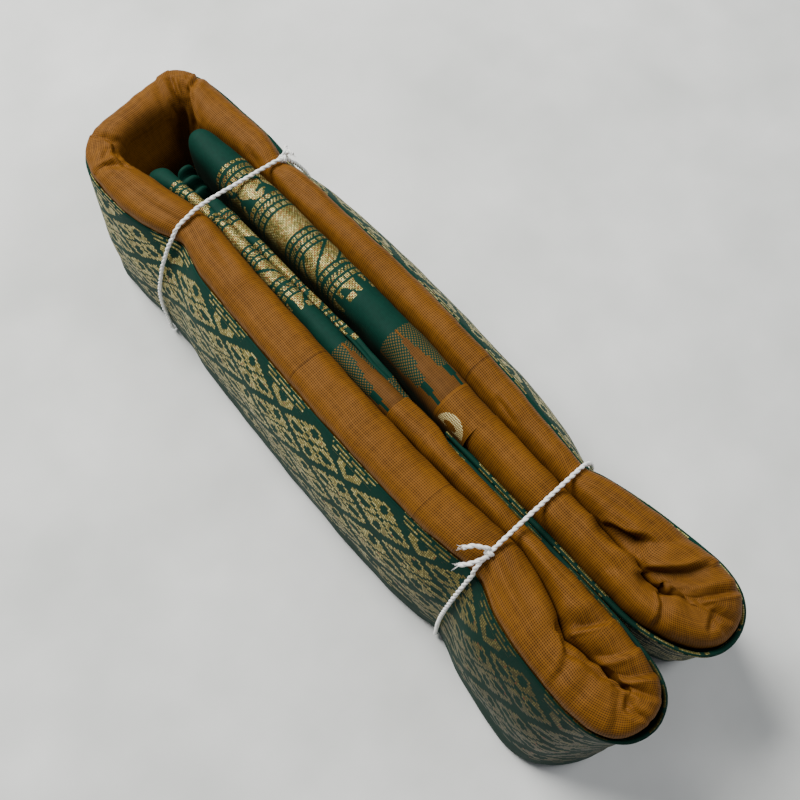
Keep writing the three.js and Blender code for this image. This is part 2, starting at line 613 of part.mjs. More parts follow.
// Where a string lies: beside the walls, across the top, and in its channel
function stringX (tie, y, z) {
  if (z < GROOVE_HEIGHT) return underX(tie, y)
  if (z < TOP_STARTS) return between(y < 0 ? tie.frontX : tie.backX, 'z', z).x
  return between(tie.topX, 'y', THREE.MathUtils.clamp(y, TOP_FRONT, TOP_BACK)).x
}

// A string is pulled straight from fold to fold, so its way round is the hull of the folds near it
const NEARBY = 2.6
function wayRound (tie) {
  const folds = []
  const xs = [...tie.frontX, ...tie.topX, ...tie.backX].map(row => row.x)
  for (let x = Math.min(...xs) - NEARBY; x <= Math.max(...xs) + NEARBY; x += NEARBY / 2) {
    for (const make of [outerFront, outerBack]) folds.push(...stackRing(make(x)), ...borderRing(make(x)))
    for (const make of [innerFront, middle, innerBack]) folds.push(...stackRing(make(x)))
  }
  const near = folds.filter(p => Math.abs(p.x - stringX(tie, p.y, p.z)) < NEARBY)
  const feet = near.filter(p => p.z <= FOOT_HEIGHT).map(p => p.y)
  const held = near.filter(p => p.z >= GROOVE_HEIGHT)
  for (const y of [Math.min(...feet), Math.max(...feet)]) held.push(new THREE.Vector3(0, y, GROOVE_HEIGHT))
  const clear = STRING / 2 + STRING_CLEAR
  const corners = []
  for (let i = 0; i < 360; i++) {
    const turn = 2 * Math.PI * i / 360
    const outY = Math.cos(turn)
    const outZ = Math.sin(turn)
    let far = held[0]
    for (const p of held) if (p.y * outY + p.z * outZ > far.y * outY + far.z * outZ) far = p
    corners.push({ y: far.y + clear * outY, z: far.z + clear * outZ, outY, outZ })
  }
  const way = []
  corners.forEach((a, i) => {
    const b = corners[(i + 1) % corners.length]
    const pieces = Math.max(1, Math.round(Math.hypot(b.y - a.y, b.z - a.z)))
    for (let k = 0; k < pieces; k++) {
      const mix = key => THREE.MathUtils.lerp(a[key], b[key], k / pieces)
      way.push({
        place: new THREE.Vector3(stringX(tie, mix('y'), mix('z')), mix('y'), mix('z')),
        out: new THREE.Vector3(0, mix('outY'), mix('outZ')),
      })
    }
  })
  return way
}

// A round string along a path, with out pointing away from the bundle
function tube (way) {
  return loft(way.map(({ place, out }, i) => {
    const before = way[Math.max(i - 1, 0)].place
    const after = way[Math.min(i + 1, way.length - 1)].place
    const along = new THREE.Vector3().subVectors(after, before).normalize()
    const side = new THREE.Vector3().crossVectors(out, along).normalize()
    const up = new THREE.Vector3().crossVectors(along, side)
    const ring = []
    for (let k = 0; k < STRING_SIDES; k++) {
      const turn = 2 * Math.PI * k / STRING_SIDES
      ring.push(place.clone()
        .addScaledVector(side, Math.cos(turn) * STRING / 2)
        .addScaledVector(up, Math.sin(turn) * STRING / 2))
    }
    return ring
  }))
}

// One string: once round the bundle, two turns of a knot, and its free ends
const KNOT_REACH = 4
const STRING_BEND = 0.3
const STRING_STEP = 13
function tied (tie) {
  const way = wayRound(tie)
  let start = 0
  const offKnot = step => Math.abs(step.place.y - tie.knotY)
  way.forEach((step, i) => {
    if (step.out.z > 0 && offKnot(step) < offKnot(way[start])) start = i
  })
  const turned = [...way.slice(start), ...way.slice(0, start)]
  const knotOut = turned[0].out
  const knot = turned[0].place.clone().addScaledVector(knotOut, KNOT_TURN)
  const laid = turned.filter(step => step.place.distanceTo(turned[0].place) > KNOT_REACH)
  const kept = [{ place: knot, out: knotOut }, laid[0]]
  for (const step of laid) {
    const last = kept[kept.length - 1]
    const turn = step.out.angleTo(last.out)
    const gap = step.place.distanceTo(last.place)
    if ((turn > STRING_BEND && gap > 0.4) || gap > STRING_STEP) kept.push(step)
  }
  kept.push(laid[laid.length - 1], { place: knot, out: knotOut })
  let body = solid(tube(kept))
  const core = new THREE.SphereGeometry(KNOT_TURN + 0.35, 8, 6)
  core.translate(knot.x, knot.y, knot.z)
  body = body.add(solid(core))
  for (const tilt of [0.35, -0.75]) {
    const loop = new THREE.TorusGeometry(KNOT_TURN, STRING / 2 - 0.15, 7, 10)
    loop.rotateX(Math.PI / 2 + tilt)
    loop.rotateZ(tilt)
    loop.translate(knot.x, knot.y, knot.z)
    body = body.add(solid(loop))
  }
  for (const end of tie.ends) {
    const curve = new THREE.CatmullRomCurve3([knot, ...end.map(p => new THREE.Vector3(p.x, p.y, p.z))])
    const out = new THREE.Vector3(0, 0, 1)
    body = body.add(solid(tube(curve.getPoints(5).map(place => ({ place, out })))))
  }
  return geometryOf(body)
}
add('tie_head', tied(HEAD_TIE), cotton())
add('tie_lobes', tied(LOBE_TIE), cotton())

// The bundle stands on the floor with its box's middle over the origin
const box = new THREE.Box3().setFromObject(bundle)
const middlePoint = box.getCenter(new THREE.Vector3())
for (const piece of bundle.children) piece.geometry.translate(-middlePoint.x, -middlePoint.y, -box.min.z)

export default bundle
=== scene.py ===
# %% [markdown]
# # A folded saree, tied with two strings
#
# A saree is one long woven cloth. For the shelf it is folded into a strip as tall as its border, and
# the strip is stood on edge and bent into a bundle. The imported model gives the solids; this lesson
# dresses them: thin shells of cloth with their creases, the woven patterns, and twisted cotton strings.
#
# Everything is laid out in the maker's millimetres and turned into Blender's metres at the end.

# %% The frame
import math

import bpy
import numpy as np
from mathutils import Matrix, Vector


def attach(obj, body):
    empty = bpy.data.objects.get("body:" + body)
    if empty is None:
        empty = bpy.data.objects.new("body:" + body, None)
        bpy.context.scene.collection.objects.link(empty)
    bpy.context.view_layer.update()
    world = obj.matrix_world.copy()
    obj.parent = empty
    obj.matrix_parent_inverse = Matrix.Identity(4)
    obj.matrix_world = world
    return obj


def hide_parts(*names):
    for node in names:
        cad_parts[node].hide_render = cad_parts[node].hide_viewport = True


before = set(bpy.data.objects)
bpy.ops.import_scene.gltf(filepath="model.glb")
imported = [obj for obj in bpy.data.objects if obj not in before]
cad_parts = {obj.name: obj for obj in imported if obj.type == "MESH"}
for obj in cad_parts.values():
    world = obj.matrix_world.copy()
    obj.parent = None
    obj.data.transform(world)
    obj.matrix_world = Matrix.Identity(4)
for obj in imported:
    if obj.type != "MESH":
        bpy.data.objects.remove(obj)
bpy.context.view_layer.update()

MM = 0.001
print("nodes in the frame:", len(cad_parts))

# %% [markdown]
# ## The camera
#
# The photograph looks down at the bundle from the lobes' front side. The lens and the place were worked
# out from the bundle's own edges. A camera in Blender looks along its own minus Z, so its matrix is made
# of three directions: right, up and back. A target and a distance would leave the small roll out.

# %% Camera
FRAME_PIXELS = 800
FOCAL_PIXELS = 1050.98
SENSOR = 36.0
CAMERA_AZIMUTH = math.radians(46.849)
CAMERA_HEIGHT = math.radians(65.967)
CAMERA_ROLL = math.radians(2.570)
CAMERA_DISTANCE = 500.31
LOOKS_AT = (-2.746, 14.628, 0.0)


def add_camera():
    back = Vector((
        math.sin(CAMERA_AZIMUTH) * math.cos(CAMERA_HEIGHT),
        -math.cos(CAMERA_AZIMUTH) * math.cos(CAMERA_HEIGHT),
        math.sin(CAMERA_HEIGHT),
    ))
    level_right = Vector((0, 0, 1)).cross(back).normalized()
    level_up = back.cross(level_right)
    right = math.cos(CAMERA_ROLL) * level_right + math.sin(CAMERA_ROLL) * level_up
    up = back.cross(right)
    camera = bpy.data.objects.new("camera", bpy.data.cameras.new("camera"))
    camera.data.sensor_width = SENSOR
    camera.data.lens = SENSOR * FOCAL_PIXELS / FRAME_PIXELS
    camera.data.clip_start = 0.01
    place = Matrix((right, up, back)).transposed().to_4x4()
    eye = Vector(LOOKS_AT) + CAMERA_DISTANCE * back
    place.translation = eye * MM
    camera.matrix_world = place
    bpy.context.scene.collection.objects.link(camera)
    bpy.context.scene.camera = camera
    print("lens in millimetres:", round(camera.data.lens, 2))
    return eye


EYE = add_camera()

# %% [markdown]
# ## The sizes of the bundle
#
# The same few rows that shaped the solids place the cloth here. Each row of ACROSS is one station along
# the bundle, and its columns are the lines that run from the head to the lobes: the borders' top edges,
# the creases between neighbouring stretches and the two sides of the middle. The bends have rows of
# their own, one for each section across the strip.

# %% Named sizes
BORDER_HEIGHT = 73.0
BORDER_WALL = 1.1
SEAM = 0.3
CROWN = 83.0
DOME_RISE = 10.0
DOME_ROUNDNESS = 2.3
DOME_SHARE = 0.6
BULGE_START = 10.0
BULGE_POWER = 3.2
FRONT_LEAN = -9.0
BACK_LEAN = 16.0
LEAN_START = 100.0
LEAN_END = 165.0
FOOT_ROUND = 1.4
FOOT_HEIGHT = 6.0
HEAD_JOINT = -130.0
LOBE_JOINT = 136.0
BOX_MIDDLE = (3.7402, 2.5219)

# %% The rows
ACROSS_COLUMNS = (
    "x front front_crease mid_front mid_back back_crease back front_bulge back_bulge inner_top middle_top"
).split()
ACROSS = [
    (-130, -37.8, -20.3, -9.6, 3.0, 13.5, 32.9, 3.2, 5.0, 73.0, 68.0),
    (-120, -37.2, -17.6, -9.6, 1.6, 16.2, 33.6, 4.0, 6.0, 75.5, 68.0),
    (-110, -35.0, -15.4, -9.2, 1.0, 17.6, 33.8, 5.5, 8.0, 77.0, 71.0),
    (-102, -32.4, -13.8, -8.7, 1.0, 18.3, 33.0, 7.5, 9.5, 77.0, 75.0),
    (-95, -29.3, -12.7, -8.3, 1.0, 18.6, 31.2, 11.0, 11.0, 77.0, 76.0),
    (-90, -27.7, -12.5, -8.0, 1.0, 18.8, 31.9, 13.0, 12.5, 77.5, 77.0),
    (-84, -28.9, -12.7, -7.5, 1.1, 19.0, 32.8, 11.8, 14.0, 78.0, 77.0),
    (-72, -31.6, -13.2, -6.6, 1.3, 19.3, 33.8, 11.0, 15.5, 78.0, 77.0),
    (-40, -33.0, -13.9, -4.8, 2.1, 19.8, 35.1, 11.2, 16.5, 78.5, 77.0),
    (-10, -34.0, -14.3, -4.2, 2.8, 20.0, 35.8, 11.7, 17.0, 79.0, 76.5),
    (20, -34.4, -14.5, -3.9, 1.8, 20.0, 35.6, 12.0, 17.0, 79.5, 75.5),
    (46, -34.0, -14.1, -3.3, 0.6, 19.4, 34.8, 12.0, 16.5, 80.0, 74.0),
    (70, -33.0, -13.3, -2.7, 0.5, 18.6, 32.8, 12.0, 15.5, 81.0, 74.0),
    (85, -31.2, -12.4, -2.5, 0.6, 18.3, 31.1, 12.0, 12.5, 81.0, 74.0),
    (94, -29.8, -11.6, -2.4, 0.7, 18.2, 30.6, 11.5, 9.5, 81.0, 74.0),
    (101, -30.5, -11.4, -2.3, 0.8, 18.2, 32.9, 12.2, 10.0, 81.5, 74.0),
    (112, -34.6, -13.2, -2.2, 0.9, 18.2, 36.0, 11.5, 8.0, 82.0, 74.0),
    (124, -37.1, -16.4, -2.1, 0.9, 18.0, 38.6, 9.5, 4.5, 82.0, 74.0),
    (136, -38.3, -22.2, -2.2, 1.0, 16.6, 40.4, 7.5, 2.0, 82.0, 74.0),
]
BEND_COLUMNS = "out_x out_y in_x in_y top bulge loose".split()
HEAD = [
    (-137.0, -37.9, -136.0, -21.8, 83.0, 3.0, 0.0),
    (-143.0, -37.4, -140.0, -22.6, 83.0, 2.0, 0.0),
    (-149.5, -35.6, -143.0, -22.0, 82.5, 1.0, 0.1),
    (-155.0, -32.2, -145.0, -20.2, 82.0, 0.5, 0.3),
    (-159.0, -27.4, -146.3, -17.5, 82.5, 0.5, 0.5),
    (-161.5, -20.5, -147.0, -13.5, 83.0, 1.0, 1.2),
    (-163.0, -12.5, -147.6, -8.0, 83.0, 2.0, 1.6),
    (-164.2, -3.0, -148.0, -2.0, 83.0, 3.0, 1.2),
    (-165.6, 5.0, -148.2, 3.0, 83.0, 3.5, 0.1),
    (-167.2, 13.5, -147.8, 7.5, 82.5, 3.5, 0.0),
    (-167.4, 21.0, -146.6, 10.6, 82.0, 3.5, 0.0),
    (-163.8, 26.6, -144.6, 12.4, 82.0, 3.5, 0.0),
    (-157.5, 29.9, -142.0, 13.3, 82.5, 4.0, 0.0),
    (-150.0, 31.5, -139.0, 13.6, 83.0, 4.5, 0.0),
    (-140.0, 32.5, -135.5, 13.5, 83.0, 5.0, 0.0),
]
FRONT_LOBE = [
    (147.4, -38.9, 147.0, -20.6, 83.0, 6.0, 0.0),
    (157.4, -38.6, 154.5, -20.0, 83.0, 3.0, 0.0),
    (165.0, -37.0, 159.0, -19.7, 82.5, -1.5, 0.2),
    (171.5, -33.0, 162.0, -19.3, 82.0, -4.5, 0.6),
    (175.5, -27.0, 163.6, -19.0, 81.5, -5.5, 1.4),
    (176.6, -19.5, 164.2, -18.7, 81.5, -4.5, 1.8),
    (175.0, -12.6, 163.8, -18.5, 81.5, -3.0, 1.2),
    (171.0, -7.6, 162.0, -18.5, 82.0, -1.5, 0.6),
    (164.5, -4.6, 158.0, -19.0, 82.0, -0.6, 0.2),
    (155.0, -3.1, 152.5, -19.4, 82.0, 0.2, 0.0),
    (146.0, -2.5, 146.0, -20.2, 82.0, 0.1, 0.0),
]
BACK_LOBE = [
    (146.0, 41.6, 142.5, 16.5, 83.5, 1.0, 0.0),
    (155.0, 42.2, 146.5, 17.5, 83.5, 0.5, 0.0),
    (163.5, 40.8, 150.0, 18.6, 83.0, 0.5, 0.0),
    (169.5, 37.2, 153.0, 19.6, 83.0, -1.0, 0.2),
    (173.5, 32.0, 155.2, 20.1, 82.5, -2.0, 0.4),
    (175.5, 25.5, 156.2, 19.9, 82.0, -3.0, 0.5),
    (174.8, 18.8, 155.4, 19.4, 82.0, -3.0, 0.8),
    (171.5, 13.0, 153.2, 18.8, 82.0, -2.0, 1.0),
    (165.8, 8.3, 150.4, 17.8, 82.5, 0.4, 0.7),
    (158.2, 4.6, 147.0, 16.7, 82.5, 0.3, 0.3),
    (150.4, 2.1, 143.4, 15.9, 82.5, 0.2, 0.0),
    (143.4, 1.2, 140.0, 15.8, 82.5, 0.1, 0.0),
]

# %% [markdown]
# ## Smooth lines through the rows
#
# The rows are far apart and the cloth is smooth, so the values in between come from a cubic curve
# through the rows. NumPy works on all stations at once, which keeps thousands of points quick.


# %% Curves through the rows
def smooth(keys, values, at):
    keys = np.asarray(keys, float)
    values = np.asarray(values, float)
    at = np.asarray(at, float)
    i = np.clip(np.searchsorted(keys, at) - 1, 0, len(keys) - 2)
    before = np.maximum(i - 1, 0)
    after = np.minimum(i + 2, len(keys) - 1)
    span = keys[i + 1] - keys[i]
    t = np.clip((at - keys[i]) / span, 0, 1)
    slope_a = (values[i + 1] - values[before]) / (keys[i + 1] - keys[before]) * span
    slope_b = (values[after] - values[i]) / (keys[after] - keys[i]) * span
    rise = values[i + 1] - values[i]
    return (values[i] + t * slope_a + t * t * (3 * rise - 2 * slope_a - slope_b)
            + t ** 3 * (slope_a + slope_b - 2 * rise))


def smoothstep(low, high, value):
    t = np.clip((value - low) / (np.asarray(high) - low), 0, 1)
    return t * t * (3 - 2 * t)


def at_stations(x):
    table = np.array(ACROSS, float)
    return {name: smooth(table[:, 0], table[:, k], x) for k, name in enumerate(ACROSS_COLUMNS)}


print("middle gap at the head string:", round(float(at_stations(-94)["mid_back"]), 2))

# %% [markdown]
# ## Sections of the strip
#
# A section is a cut across the strip: where its outer and inner shoulder are in plan, how high its
# crown is, how far its outer face swells and how loosely the border hangs on it. Its slope tips the
# inner face at the head, and where the border's edge is shown, the mustard keeps back from it. A run is
# a list of sections, kept as one NumPy array for each value.


# %% Runs of sections
def run(out, inner, top, bulge, outer_shoulder=None, loose=0.0, fall=DOME_RISE, slope=0.0, shown=0.0):
    def each(value):
        return np.broadcast_to(np.asarray(value, float), len(out)).copy()

    width = np.linalg.norm(out - inner, axis=1)
    inner_shoulder = each(top) - np.minimum(fall, DOME_SHARE * width)
    if outer_shoulder is None:
        outer_shoulder = inner_shoulder
    return {
        "out": out,
        "inner": inner,
        "top": each(top),
        "bulge": each(bulge),
        "outer_shoulder": each(outer_shoulder),
        "inner_shoulder": inner_shoulder,
        "loose": each(loose),
        "slope": each(slope),
        "shown": each(shown),
    }


def plan(x, y):
    return np.stack([x, y], axis=1)


MIDDLE_ROOM = 2.2
MIDDLE_LOWER = 3.0
ROOM_STARTS = -112.0
ROOM_FULL = -96.0
EDGE_SHOWN_INSIDE = 1.2
EDGE_SHOWN_BACK = 0.9
EDGE_SHOWN_FROM = 42.0
EDGE_SHOWN_FULL = 62.0


def straight(stretch, x):
    row = at_stations(x)
    if stretch == "front_outer":
        return run(plan(x, row["front"]), plan(x, row["front_crease"] - SEAM / 2),
                   CROWN, row["front_bulge"], BORDER_HEIGHT)
    inner_shown = EDGE_SHOWN_INSIDE * smoothstep(EDGE_SHOWN_FROM, EDGE_SHOWN_FULL, x)
    if stretch == "front_inner":
        return run(plan(x, row["mid_front"]), plan(x, row["front_crease"] + SEAM / 2), row["inner_top"], 0,
                   shown=inner_shown)
    if stretch == "middle":
        room = MIDDLE_ROOM * smoothstep(ROOM_STARTS, ROOM_FULL, x)
        return run(plan(x, row["mid_front"] + SEAM), plan(x, row["mid_back"] - SEAM - room),
                   row["middle_top"] - MIDDLE_LOWER, 0)
    if stretch == "back_inner":
        return run(plan(x, row["mid_back"]), plan(x, row["back_crease"] - SEAM / 2), CROWN, 0,
                   shown=inner_shown)
    return run(plan(x, row["back"]), plan(x, row["back_crease"] + SEAM / 2),
               CROWN, row["back_bulge"], BORDER_HEIGHT, shown=EDGE_SHOWN_BACK)


BEND_BLEND = 0.22
HEAD_FALL = 15.0
HEAD_SLOPE = 13.0
LOBE_FALL = 2.2


def bend(first, rows, last, steps, fall, slope=0.0):
    def as_row(section):
        return (section["out"][0][0], section["out"][0][1], section["inner"][0][0],
                section["inner"][0][1], section["top"][0], section["bulge"][0], 0.0)

    table = np.array([as_row(first), *rows, as_row(last)], float)
    at = np.linspace(0, len(table) - 1, steps)
    r = {name: smooth(range(len(table)), table[:, k], at) for k, name in enumerate(BEND_COLUMNS)}
    t = np.linspace(0, 1, steps)
    inside = smoothstep(0, BEND_BLEND, t) * smoothstep(0, BEND_BLEND, 1 - t)
    shown = first["shown"][0] + (last["shown"][0] - first["shown"][0]) * smoothstep(0, 1, t)
    return run(plan(r["out_x"], r["out_y"]), plan(r["in_x"], r["in_y"]), r["top"], r["bulge"],
               BORDER_HEIGHT, r["loose"], DOME_RISE + (fall - DOME_RISE) * inside, slope * inside,
               shown)


def joined(*runs):
    return {key: np.concatenate([r[key] for r in runs]) for key in runs[0]}


def reversed_run(r):
    return {key: values[::-1] for key, values in r.items()}


# %% [markdown]
# ## Creases in the top
#
# Soft cloth that is bent in its own plane gathers in creases. Each row of CREASES is one of them: the
# line that its bottom follows, its depth, its width and its lean, which makes one side steep and the
# other gentle, as a fold that lies over. The lines were read off the photograph at the level of the
# folds' tops, so a point lower down is first carried up to that level along the line of sight.

# %% Creases
TROUGH = 1.6
TROUGH_WIDTH = 5.0
TOP_FRONT = -40.0
TOP_BACK = 36.0
CREASE_FLOOR = 30.0
CREASE_FULL = 60.0
LOBE_CREASE_FLOOR = 73.0
LOBE_CREASE_FULL = 81.0
LOBES_BEGIN = 60.0
CREASE_SHADE = 0.1
CREASE_REACH = 5
TAPER_FROM = 0.14
TAPER_OVER = 0.78
TAPER_POWER = 0.6
GROOVE_POWER = 1.4
RIDGE_HEIGHT = 0.28
RIDGE_AWAY = 2.1
RIDGE_WIDE = 0.9
HEAD_TIE_TOP = [(-40, -93.6), (-24, -93.4), (-14, -94.8), (6, -93.8), (36, -91.5)]
LOBE_TIE_TOP = [(-40, 96.4), (-18, 95.4), (8, 94.4), (36, 93.5)]
READ_LEVEL = 82.0
CREASES = [
    ([(-152.0, 26.8), (-151.0, 24), (-149.0, 19.5)], 1.9, 1.3, 0.3),
    ([(-150.0, 19.2), (-143.0, 15.0), (-135.0, 11.5), (-128.0, 9.0)], 4.6, 1.8, -0.5),
    ([(-158.0, 17.0), (-152.0, 14.5), (-143.0, 11.0), (-134.0, 7.5)], 3.4, 1.5, -0.5),
    ([(-160.0, 11.2), (-150.0, 8.8), (-138.0, 6.5), (-126.0, 3.0)], 1.9, 2.2, -0.4),
    ([(-163.0, 3.5), (-152.0, 2.5), (-142.0, 0.5)], 0.7, 3.0, 0.2),
    ([(-139.5, 3.0), (-138.7, -6.0), (-139.5, -14.0)], 0.6, 1.0, 0.3),
    ([(-154.5, -27.0), (-151.0, -24.0), (-146.0, -22.8), (-141.0, -24.2)], 1.8, 1.3, 0.4),
    ([(-142.0, -25.4), (-136.0, -25.2), (-130.0, -24.0)], 1.5, 1.3, 0.2),
    ([(-134.0, -25.8), (-137.6, -29.0), (-139.0, -33.0), (-138.2, -36.0)], 2.2, 1.6, 0.3),
    ([(-144.5, -27.0), (-141.8, -33.5)], 1.2, 1.6, 0.2),
    ([(-150.0, -28.0), (-144.0, -37.0)], 0.7, 2.6, 0.0),
    ([(-107.0, 20.5), (-103.0, 18.5), (-97.0, 17.6)], 1.4, 1.6, 0.3),
    ([(-90.5, 25.0), (-80.0, 23.5), (-64.0, 24.5)], 0.8, 2.4, 0.2),
    ([(-91.0, -22.0), (-78.0, -20.5), (-60.0, -22.5)], 0.8, 2.6, -0.2),
    ([(-97.0, -25.0), (-108.0, -28.0), (-122.0, -30.5)], 0.8, 2.6, 0.2),
    ([(-97.0, 24.0), (-112.0, 23.0), (-128.0, 22.0)], 0.6, 2.8, 0.0),
    ([(53.0, 21.4), (58.0, 20.4), (63.0, 19.6)], 1.0, 1.2, 0.2),
    ([(141.0, -8.5), (137.5, -15.0), (132.5, -23.5)], 3.0, 2.2, -0.6),
    ([(154.0, -9.0), (151.0, -15.5), (146.0, -23.0)], 2.0, 2.6, -0.5),
    ([(164.5, -9.0), (160.0, -16.0), (153.0, -22.5)], 2.2, 2.4, -0.5),
    ([(171.5, -13.5), (166.0, -17.0), (159.0, -21.0)], 1.5, 1.5, -0.3),
    ([(131.0, -21.8), (135.0, -23.6), (139.5, -26.2)], 1.8, 1.2, 0.3),
    ([(139.5, -26.2), (147.0, -23.4), (158.0, -21.4), (166.0, -21.4)], 0.9, 1.2, -0.4),
    ([(165.0, -21.0), (167.5, -24.4), (171.5, -24.2)], 1.5, 1.2, 0.2),
    ([(166.0, -22.0), (171.0, -22.8), (176.0, -21.5)], 1.2, 1.0, 0.2),
    ([(140.0, -26.5), (143.3, -32.0), (144.3, -39.0)], 1.1, 1.9, 0.4),
    ([(150.0, -25.0), (153.0, -32.0), (153.5, -38.0)], 0.5, 2.5, 0.0),
    ([(163.0, -24.5), (168.0, -30.0), (170.5, -35.0)], 0.9, 2.0, 0.3),
    ([(97.5, -19.0), (112.0, -24.0), (130.0, -28.5)], 0.9, 2.4, 0.2),
    ([(98.0, -28.0), (116.0, -33.0)], 0.6, 2.2, 0.0),
    ([(97.0, -6.0), (112.0, -7.0), (128.0, -8.0)], 0.7, 2.2, 0.1),
    ([(117.0, 17.6), (124.0, 19.5), (130.5, 25.5)], 5.0, 2.4, -0.5),
    ([(122.0, 17.6), (129.0, 18.0)], 3.4, 2.6, 0.3),
    ([(139.0, 16.5), (143.5, 21.5), (148.0, 28.0), (151.5, 35.5)], 4.4, 3.6, -0.65),
    ([(165.0, 37.0), (161.5, 31.5), (159.0, 27.0), (157.0, 23.0)], 2.8, 1.4, -0.3),
    ([(146.0, 14.5), (150.0, 18.0), (157.0, 21.8), (164.5, 23.2), (172.5, 21.0)], 1.2, 1.5, 0.5),
    ([(146.0, 14.6), (150.0, 12.0), (152.6, 8.0), (153.6, 3.0)], 1.8, 1.5, 0.5),
    ([(164.4, 23.3), (168.0, 17.5)], 1.5, 1.3, 0.3),
    ([(166.5, 24.5), (172.0, 27.0)], 1.1, 1.4, 0.2),
    ([(98.0, 24.0), (114.0, 27.0), (128.0, 31.0)], 0.9, 2.6, 0.2),
    ([(131.0, 26.0), (136.0, 33.0), (140.0, 38.0)], 0.8, 2.8, 0.3),
    ([(98.0, 9.0), (116.0, 8.0), (134.0, 8.5)], 0.6, 2.6, 0.0),
    ([(20.0, 27.5), (48.0, 26.0), (76.0, 25.0)], 0.5, 3.0, 0.2),
    ([(-50.0, -24.0), (-10.0, -26.0), (30.0, -24.5)], 0.5, 3.2, 0.2),
]


def top_line(rows, y):
    table = np.array(rows, float)
    return smooth(table[:, 0], table[:, 1], np.clip(y, TOP_FRONT, TOP_BACK))


def carried_up(points):
    eye = np.array(EYE) + np.array([*BOX_MIDDLE, 0.0])
    t = (READ_LEVEL - eye[2]) / (points[..., 2] - eye[2])
    return eye[0] + t * (points[..., 0] - eye[0]), eye[1] + t * (points[..., 1] - eye[1])


def one_crease(x, y, line, deep, width, lean):
    line = np.array(line, float)
    steps = np.diff(line, axis=0)
    lengths = np.hypot(steps[:, 0], steps[:, 1])
    starts = np.concatenate([[0], np.cumsum(lengths)])
    nearest = np.full(x.shape, 1e9)
    side = np.zeros(x.shape)
    place = np.zeros(x.shape)
    for k, (dx, dy) in enumerate(steps):
        off_x = x - line[k, 0]
        off_y = y - line[k, 1]
        t = np.clip((off_x * dx + off_y * dy) / lengths[k] ** 2, 0, 1)
        away = np.hypot(off_x - t * dx, off_y - t * dy)
        closer = away < nearest
        nearest = np.where(closer, away, nearest)
        side = np.where(closer, np.sign(dx * off_y - dy * off_x), side)
        place = np.where(closer, (starts[k] + t * lengths[k]) / starts[-1], place)
    reach = width * (1 + lean * side)
    taper = np.sin(math.pi * (TAPER_FROM + TAPER_OVER * place)) ** TAPER_POWER
    groove = np.exp(-(nearest / reach) ** GROOVE_POWER)
    ridge = RIDGE_HEIGHT * np.exp(-((nearest - RIDGE_AWAY * reach) / (RIDGE_WIDE * reach)) ** 2)
    return deep * taper * (groove - ridge)


def creased(points):
    x, y = carried_up(points)
    depth = np.zeros(x.shape)
    for line, deep, width, lean in CREASES:
        corners = np.array(line, float)
        reach = CREASE_REACH * width
        near = (x > corners[:, 0].min() - reach) & (x < corners[:, 0].max() + reach)
        near &= (y > corners[:, 1].min() - reach) & (y < corners[:, 1].max() + reach)
        near &= points[..., 2] > CREASE_FLOOR
        depth[near] += one_crease(x[near], y[near], line, deep, width, lean)
    at_lobes = smoothstep(0.0, LOBES_BEGIN, points[..., 0])
    at_head = smoothstep(CREASE_FLOOR, CREASE_FULL, points[..., 2]) * (1 - at_lobes)
    return depth * (at_head + smoothstep(LOBE_CREASE_FLOOR, LOBE_CREASE_FULL, points[..., 2]) * at_lobes)


def pressed(x, y):
    depth = np.zeros_like(x)
    for rows in (HEAD_TIE_TOP, LOBE_TIE_TOP):
        depth += TROUGH * np.exp(-((x - top_line(rows, y)) / TROUGH_WIDTH) ** 2)
    return depth


print("creases placed by hand:", len(CREASES))

# %% [markdown]
# ## Small unevenness
#
# No cloth lies quite flat. A few crossing waves, each with its own direction, length and height, add a
# rise of a few tenths of a millimetre. A sum of waves has no seams and comes out the same each time.

# %% Small unevenness
WAVES = [
    (0.61, 0.21, 0.0, 0.10),
    (0.23, -0.52, 1.3, 0.14),
    (0.11, 0.33, 2.1, 0.22),
    (0.07, -0.13, 4.0, 0.26),
    (-0.31, 0.17, 5.2, 0.16),
    (0.043, 0.09, 0.7, 0.30),
]


def uneven(along, across):
    rise = 0.0
    for per_along, per_across, shift, high in WAVES:
        rise = rise + high * np.sin(along * per_along + across * per_across + shift)
    return rise


# %% [markdown]
# ## The shell of a run
#
# Each section becomes a ring of points: up the outer face, over the dome and down the inner face. The
# dome is a superellipse, a little squarer than a half round, as stacked folds are. Two more numbers go
# with every point: its distance along the cloth and its distance across it. They are the coordinates
# that the weave and the patterns are drawn in, so a motif bends with the cloth as a woven one does.


# %% Rings
def swell(bulge, z):
    lean = np.maximum(0, (z - BULGE_START) / (BORDER_HEIGHT - BULGE_START))
    foot = np.maximum(0, 1 - z / FOOT_HEIGHT)
    return bulge * (1 - lean ** BULGE_POWER) - FOOT_ROUND * foot * foot


def leaning(points, r):
    on_front = (r["out"] + r["inner"])[:, 1] < 0
    side = np.where(on_front, FRONT_LEAN, BACK_LEAN)[:, None]
    low = np.maximum(0, 1 - points[..., 2] / BORDER_HEIGHT)
    points[..., 1] += side * smoothstep(LEAN_START, LEAN_END, points[..., 0]) * low
    return points


def signed_power(value, power):
    return np.sign(value) * np.abs(value) ** power


def away_from_inside(r):
    across = r["out"] - r["inner"]
    return across / np.linalg.norm(across, axis=1)[:, None]


def pushed(places, away, distance):
    return places + away[:, None, :] * distance[..., None]


WALL_LEVELS = np.array([0, 2, 5, 12, 24, 36, 48, 58, 66, 70])
WALL_BELOW_SHOULDER = 3
WALL_FULL = 66.5
KEPT_BACK_FROM = 50
KEPT_BACK_FULL = 68
DOME_STEPS = 60
INNER_LEVELS = 9
SLOPE_OVER = 0.55
OVERHANG = 1.35
OVERHANG_TURN = 2.6
BODY_UNEVEN = 0.55
BORDER_UNEVEN = 0.7


